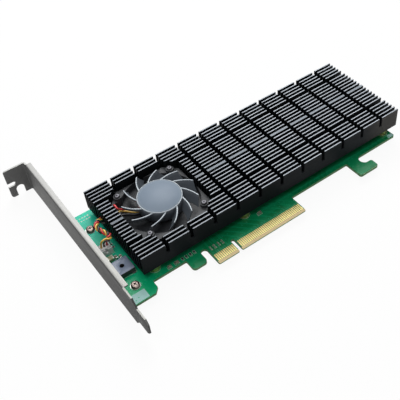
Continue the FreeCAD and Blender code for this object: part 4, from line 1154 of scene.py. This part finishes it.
def dress_ink():
    """Printed outlines round the parts on both sides, dashes by the bracket, and two pale patches: the one by the
    bracket is a painted reflection, the one at the board's right-hand corner a plain pale patch.
    """
    front = Layer(1)
    for node, gap in (("buzzer_case", 0.3), ("fan_header", 0.35), ("tantalum_capacitor", 0.3), ("flash_chip", 0.3),
                      ("clock_crystal", 0.3), ("power_inductors", 0.4), ("regulator_chips", 0.3),
                      ("switch_chip_substrate", 0.4)):
        for box in solids_of(node):
            front.outline(*box, gap=gap)
    for box in solids_of("front_resistors") + solids_of("front_capacitors"):
        front.outline(*box, FINE_LINE, 0.22)
    for low, high in solids_of("coupling_capacitors"):
        y = middle_of(low, high)[1]
        for x in (low.x - 0.28, high.x + 0.28):
            front.strip([(x, y - 0.55), (x, y + 0.55)], FINE_LINE)
    for box in solids_of("heatsink_spacers") + solids_of("m2_spacers"):
        front.ring(*box, 0.45)
    for k in range(6):
        for y in (64.2, 66.2):
            front.strip([(-54.3 + 1.5 * k, y), (-53.4 + 1.5 * k, y)], 0.7)
    front.done("ink_front", "ink")

    # pale patches: the first, by the bracket, is a painted reflection; the second lies at the board's right-hand corner
    field = Layer(1)
    field.strip([(-55.9, 7.4), (-47.7, 7.4)], 5.2)
    field.strip([(107.4, CORNER_EDGE + 1.35), (111.1, CORNER_EDGE + 1.35)], 2.3)
    field.done("ink_field", "thin_ink")

    back = Layer(-1)
    back.outline(*box_of("switch_chip_substrate"), RING_WIDTH, 0.4)
    for box in solids_of("back_capacitors"):
        back.outline(*box, FINE_LINE, 0.22)
    for box in solids_of("heatsink_screws") + solids_of("m2_spacers"):
        back.ring(*box, 0.5)
    for node in ("fan_header", "buzzer_case"):
        back.outline(*box_of(node))
    back.done("ink_back", "ink")


front_tracks()
back_tracks()
dress_vias()
dress_ink()


# ---- solder ----
def dress_solder():
    """Solder cones round the header's pins below the board, and beads where the leads meet the driver board."""
    places = [(Vector((*middle_of(*box), BOARD_BACK)) * MM, (pi, 0, 0), ONE) for box in solids_of("fan_header_pins")]
    cone = lathe([(0, 0.9), (0.18, 0.88), (0.30, 0.66), (0.46, 0.30), (0.66, 0.05), (0.70, -0.01)], 24)
    scattered("pin_solder", drawn(cone, "cone"), "tinned_leads", places)
    places = [(on_card(*route[0]) - Vector((0, 0, 0.42 * MM)), 0, ONE) for route in LEAD_ROUTES.values()]
    bead = lathe([(0.55, 0), (0.56, 0.25), (0.45, 0.6), (0.25, 0.82), (0, 0.9)], 20)
    scattered("lead_solder", drawn(bead, "bead"), "tinned_leads", places)


dress_solder()

# ---- camera, light and floor ----
scene = bpy.context.scene
camera = held(bpy.data.cameras.new("camera"), "camera")
camera.location = (-0.114087, -0.169800, 0.254245)
camera.rotation_euler = (radians(43.3776), radians(3.3110), radians(-36.4862))
given(camera.data, lens=62.348, sensor_width=36.0, shift_x=-0.075, shift_y=-0.0125, clip_start=0.01, clip_end=20.0)
scene.camera = camera

CENTRE = Vector((0.025, 0.04, 0.0))


def lamp(name, direction, distance, size, power):
    """A square soft box that looks at the card's middle."""
    light = given(bpy.data.lights.new(name, "AREA"), shape="SQUARE", size=size, energy=power)
    made = held(light, name)
    made.location = CENTRE + Vector(direction).normalized() * distance
    made.rotation_mode = "QUATERNION"
    made.rotation_quaternion = (CENTRE - made.location).to_track_quat("-Z", "Y")


# The key light stands high behind the card; the others are fills.
lamp("key", (0.37, 0.577, 0.73), 1.0, 0.6, 7.6)
lamp("overhead", (-0.2, 0.0, 1.0), 1.2, 1.0, 6.0)
lamp("left_fill", (-0.9, 0.25, 0.35), 1.0, 0.6, 0.8)
lamp("front_fill", (0.1, -0.9, 0.45), 1.0, 0.6, 0.7)

ROOM_LIGHT = 0.14
FLOOR_GLOW = 0.93
FLOOR_REACH = 3.0
FLOOR_DROP = 0.0002


def shown_white(tree, share):
    """Gives share to rays that come from the camera or off gloss or glass, and 0 to all others."""
    rays = tree.nodes.new("ShaderNodeLightPath")
    total = rays.outputs["Is Camera Ray"]
    for operation, name in (("MAXIMUM", "Is Glossy Ray"), ("MAXIMUM", "Is Transmission Ray"), ("MULTIPLY", None)):
        step = given(tree.nodes.new("ShaderNodeMath"), operation=operation)
        step.inputs[1].default_value = share
        tree.links.new(total, step.inputs[0])
        if name:
            tree.links.new(rays.outputs[name], step.inputs[1])
        total = step.outputs[0]
    return total


def blended(tree, share, first, second, output):
    """Shows the first shader, and the second at its share to the rays of shown_white."""
    blend = tree.nodes.new("ShaderNodeMixShader")
    for source, socket in ((shown_white(tree, share), blend.inputs["Fac"]), (first.outputs[0], blend.inputs[1]),
                           (second.outputs[0], blend.inputs[2]),
                           (blend.outputs[0], tree.nodes[output].inputs["Surface"])):
        tree.links.new(source, socket)


def make_room():
    """A dim white room whose backdrop shows white."""
    scene.world = bpy.data.worlds.new("room")
    scene.world.use_nodes = True
    tree = scene.world.node_tree
    dim = tree.nodes["Background"]
    white = tree.nodes.new("ShaderNodeBackground")
    for light in (dim, white):
        light.inputs["Color"].default_value = (1.0, 1.0, 1.0, 1.0)
    dim.inputs["Strength"].default_value = ROOM_LIGHT
    blended(tree, 1.0, dim, white, "World Output")
    scene.view_settings.view_transform = "Standard"


def make_floor():
    """A pale floor that shows white to the camera and keeps a soft shadow."""
    bm = bmesh.new()
    bmesh.ops.create_grid(bm, x_segments=1, y_segments=1, size=FLOOR_REACH)
    mesh = drawn(bm, "floor", False)
    mesh.transform(Matrix.Translation((0, 0, cad_box[0].z - FLOOR_DROP)))
    paint = bpy.data.materials.new("floor_paint")
    paint.use_nodes = True
    tree = paint.node_tree
    shader = tree.nodes["Principled BSDF"]
    shader.inputs["Base Color"].default_value = (0.9, 0.9, 0.9, 1.0)
    shader.inputs["Roughness"].default_value = 0.9
    blended(tree, FLOOR_GLOW, shader, tree.nodes.new("ShaderNodeEmission"), "Material Output")
    mesh.materials.append(paint)
    held(mesh, "floor")


make_room()
make_floor()
